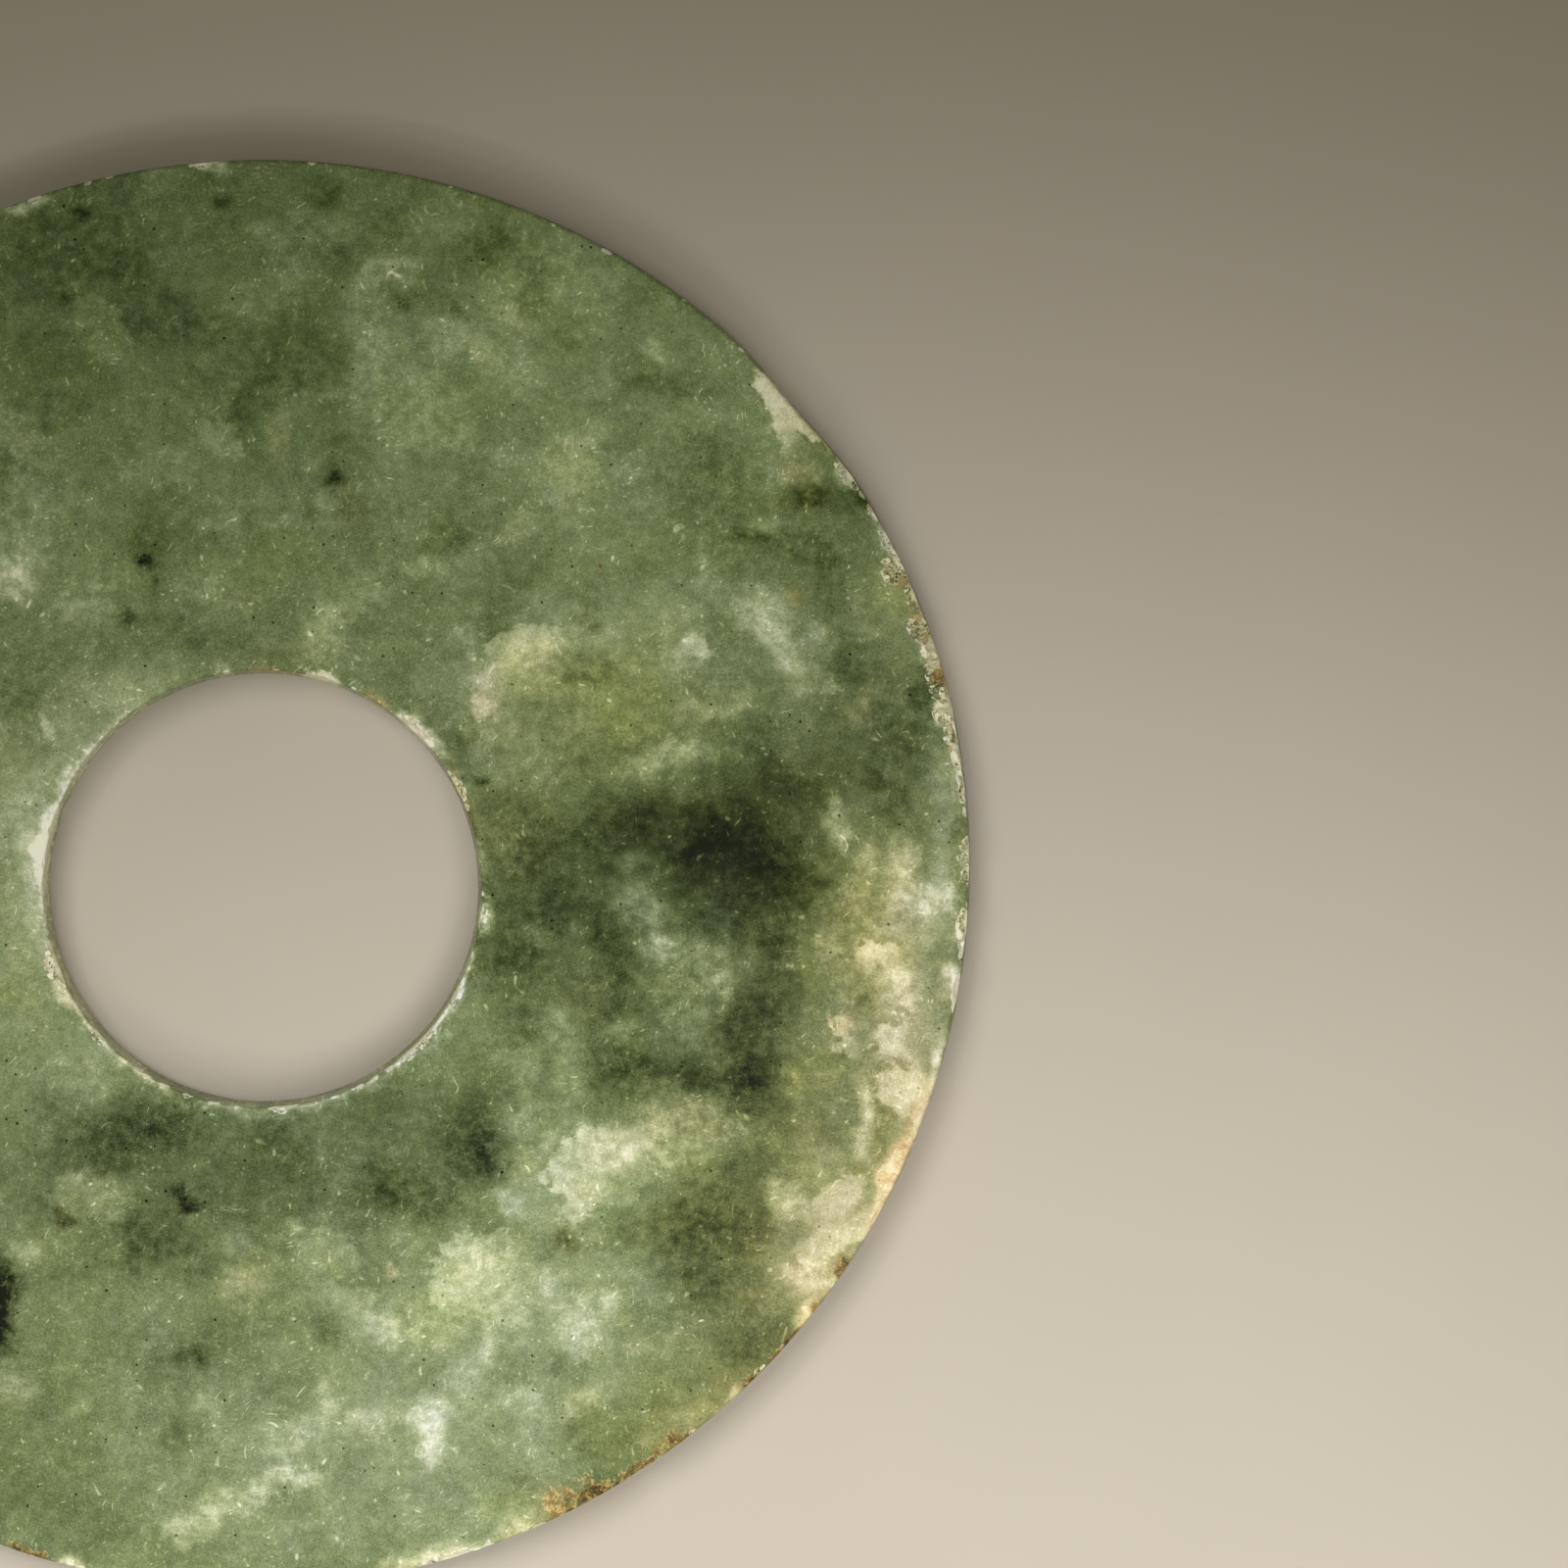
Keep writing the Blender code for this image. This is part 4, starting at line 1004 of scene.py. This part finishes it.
def makeFloor():
    shape = bmesh.new()
    bmesh.ops.create_grid(shape, x_segments=1, y_segments=1, size=studio["floorSize"] / 2)
    bmesh.ops.translate(shape, verts=shape.verts, vec=(0, 0, lowest.z - studio["floorGap"]))
    mesh = bpy.data.meshes.new("floor")
    shape.to_mesh(mesh)
    shape.free()
    floor = bpy.data.objects.new("floor", mesh)
    bpy.context.collection.objects.link(floor)
    material, start, surface = newMaterial("floorPaint")
    coordinates = start.node("ShaderNodeTexCoord", outlet="Object")
    pattern = {"Vector": coordinates, "Scale": studio["floorLumps"], "Detail": 3}
    mottle = start.node("ShaderNodeTexNoise", None, pattern)
    plain = linear(*studio["floorColour"])
    paler = tuple(value * studio["floorPaler"] for value in plain[:3]) + (1.0,)
    colour = start.node("ShaderNodeMix", {"data_type": "RGBA"}, {0: mottle, 6: plain, 7: paler}, 2)
    feed(colour, surface, "Base Color")
    surface.inputs["Roughness"].default_value = studio["floorRoughness"]
    mesh.materials.append(material)


def aim(place, target):
    # The turn of a lamp or camera that looks from a place to a target, with +Y up in its view.
    back = (Vector(place) - Vector(target)).normalized()
    right = Vector((0, 1, 0)).cross(back).normalized()
    up = back.cross(right)
    turn = Matrix((right, up, back)).transposed().to_4x4()
    return Matrix.Translation(place) @ turn


def makeLights():
    for name, place, target, bankRadius, lamps, power, cone in studio["lights"]:
        light = bpy.data.lights.new(name, "SPOT")
        light.energy = power / lamps
        light.color = studio["lampColour"]
        light.shadow_soft_size = studio["lampRadius"]
        light.spot_size = math.radians(cone)
        light.spot_blend = 1.0
        bank = aim(place, target)
        for number in range(lamps):
            # a sunflower's spiral spreads the lamps evenly over the bank
            angle = number * math.pi * (3 - math.sqrt(5))
            reach = bankRadius * math.sqrt((number + 0.5) / lamps)
            spot = bank @ Vector((reach * math.cos(angle), reach * math.sin(angle), 0))
            item = bpy.data.objects.new(name, light)
            bpy.context.collection.objects.link(item)
            item.matrix_world = aim(spot, target)
    world = bpy.data.worlds.new("studio")
    world.use_nodes = True
    sky = world.node_tree.nodes["Background"]
    sky.inputs["Color"].default_value = studio["world"]
    sky.inputs["Strength"].default_value = studio["worldStrength"]
    bpy.context.scene.world = world


# The camera looks down on the disc. Places are in metres.
camera = {
    "place": (0.035, 0.030, 0.805),
    "target": (0.0444, 0.0077, 0.005),
    "lens": 218.8,
    "sensor": 36.0,
}


def makeCamera():
    view = bpy.data.cameras.new("camera")
    view.lens = camera["lens"]
    view.sensor_width = camera["sensor"]
    view.clip_start = 0.01
    item = bpy.data.objects.new("camera", view)
    bpy.context.collection.objects.link(item)
    item.matrix_world = aim(camera["place"], camera["target"])
    bpy.context.scene.camera = item


makeCamera()
makeLights()
makeFloor()
print("camera, lights and floor are in place")
jadeDisc = makeDisc()
jadeDisc.data.materials.append(jadeMaterial())
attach(jadeDisc, "root")
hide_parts("jade_bi_disc")
print("the disc is finished")
bpy.context.scene.view_settings.view_transform = "Standard"
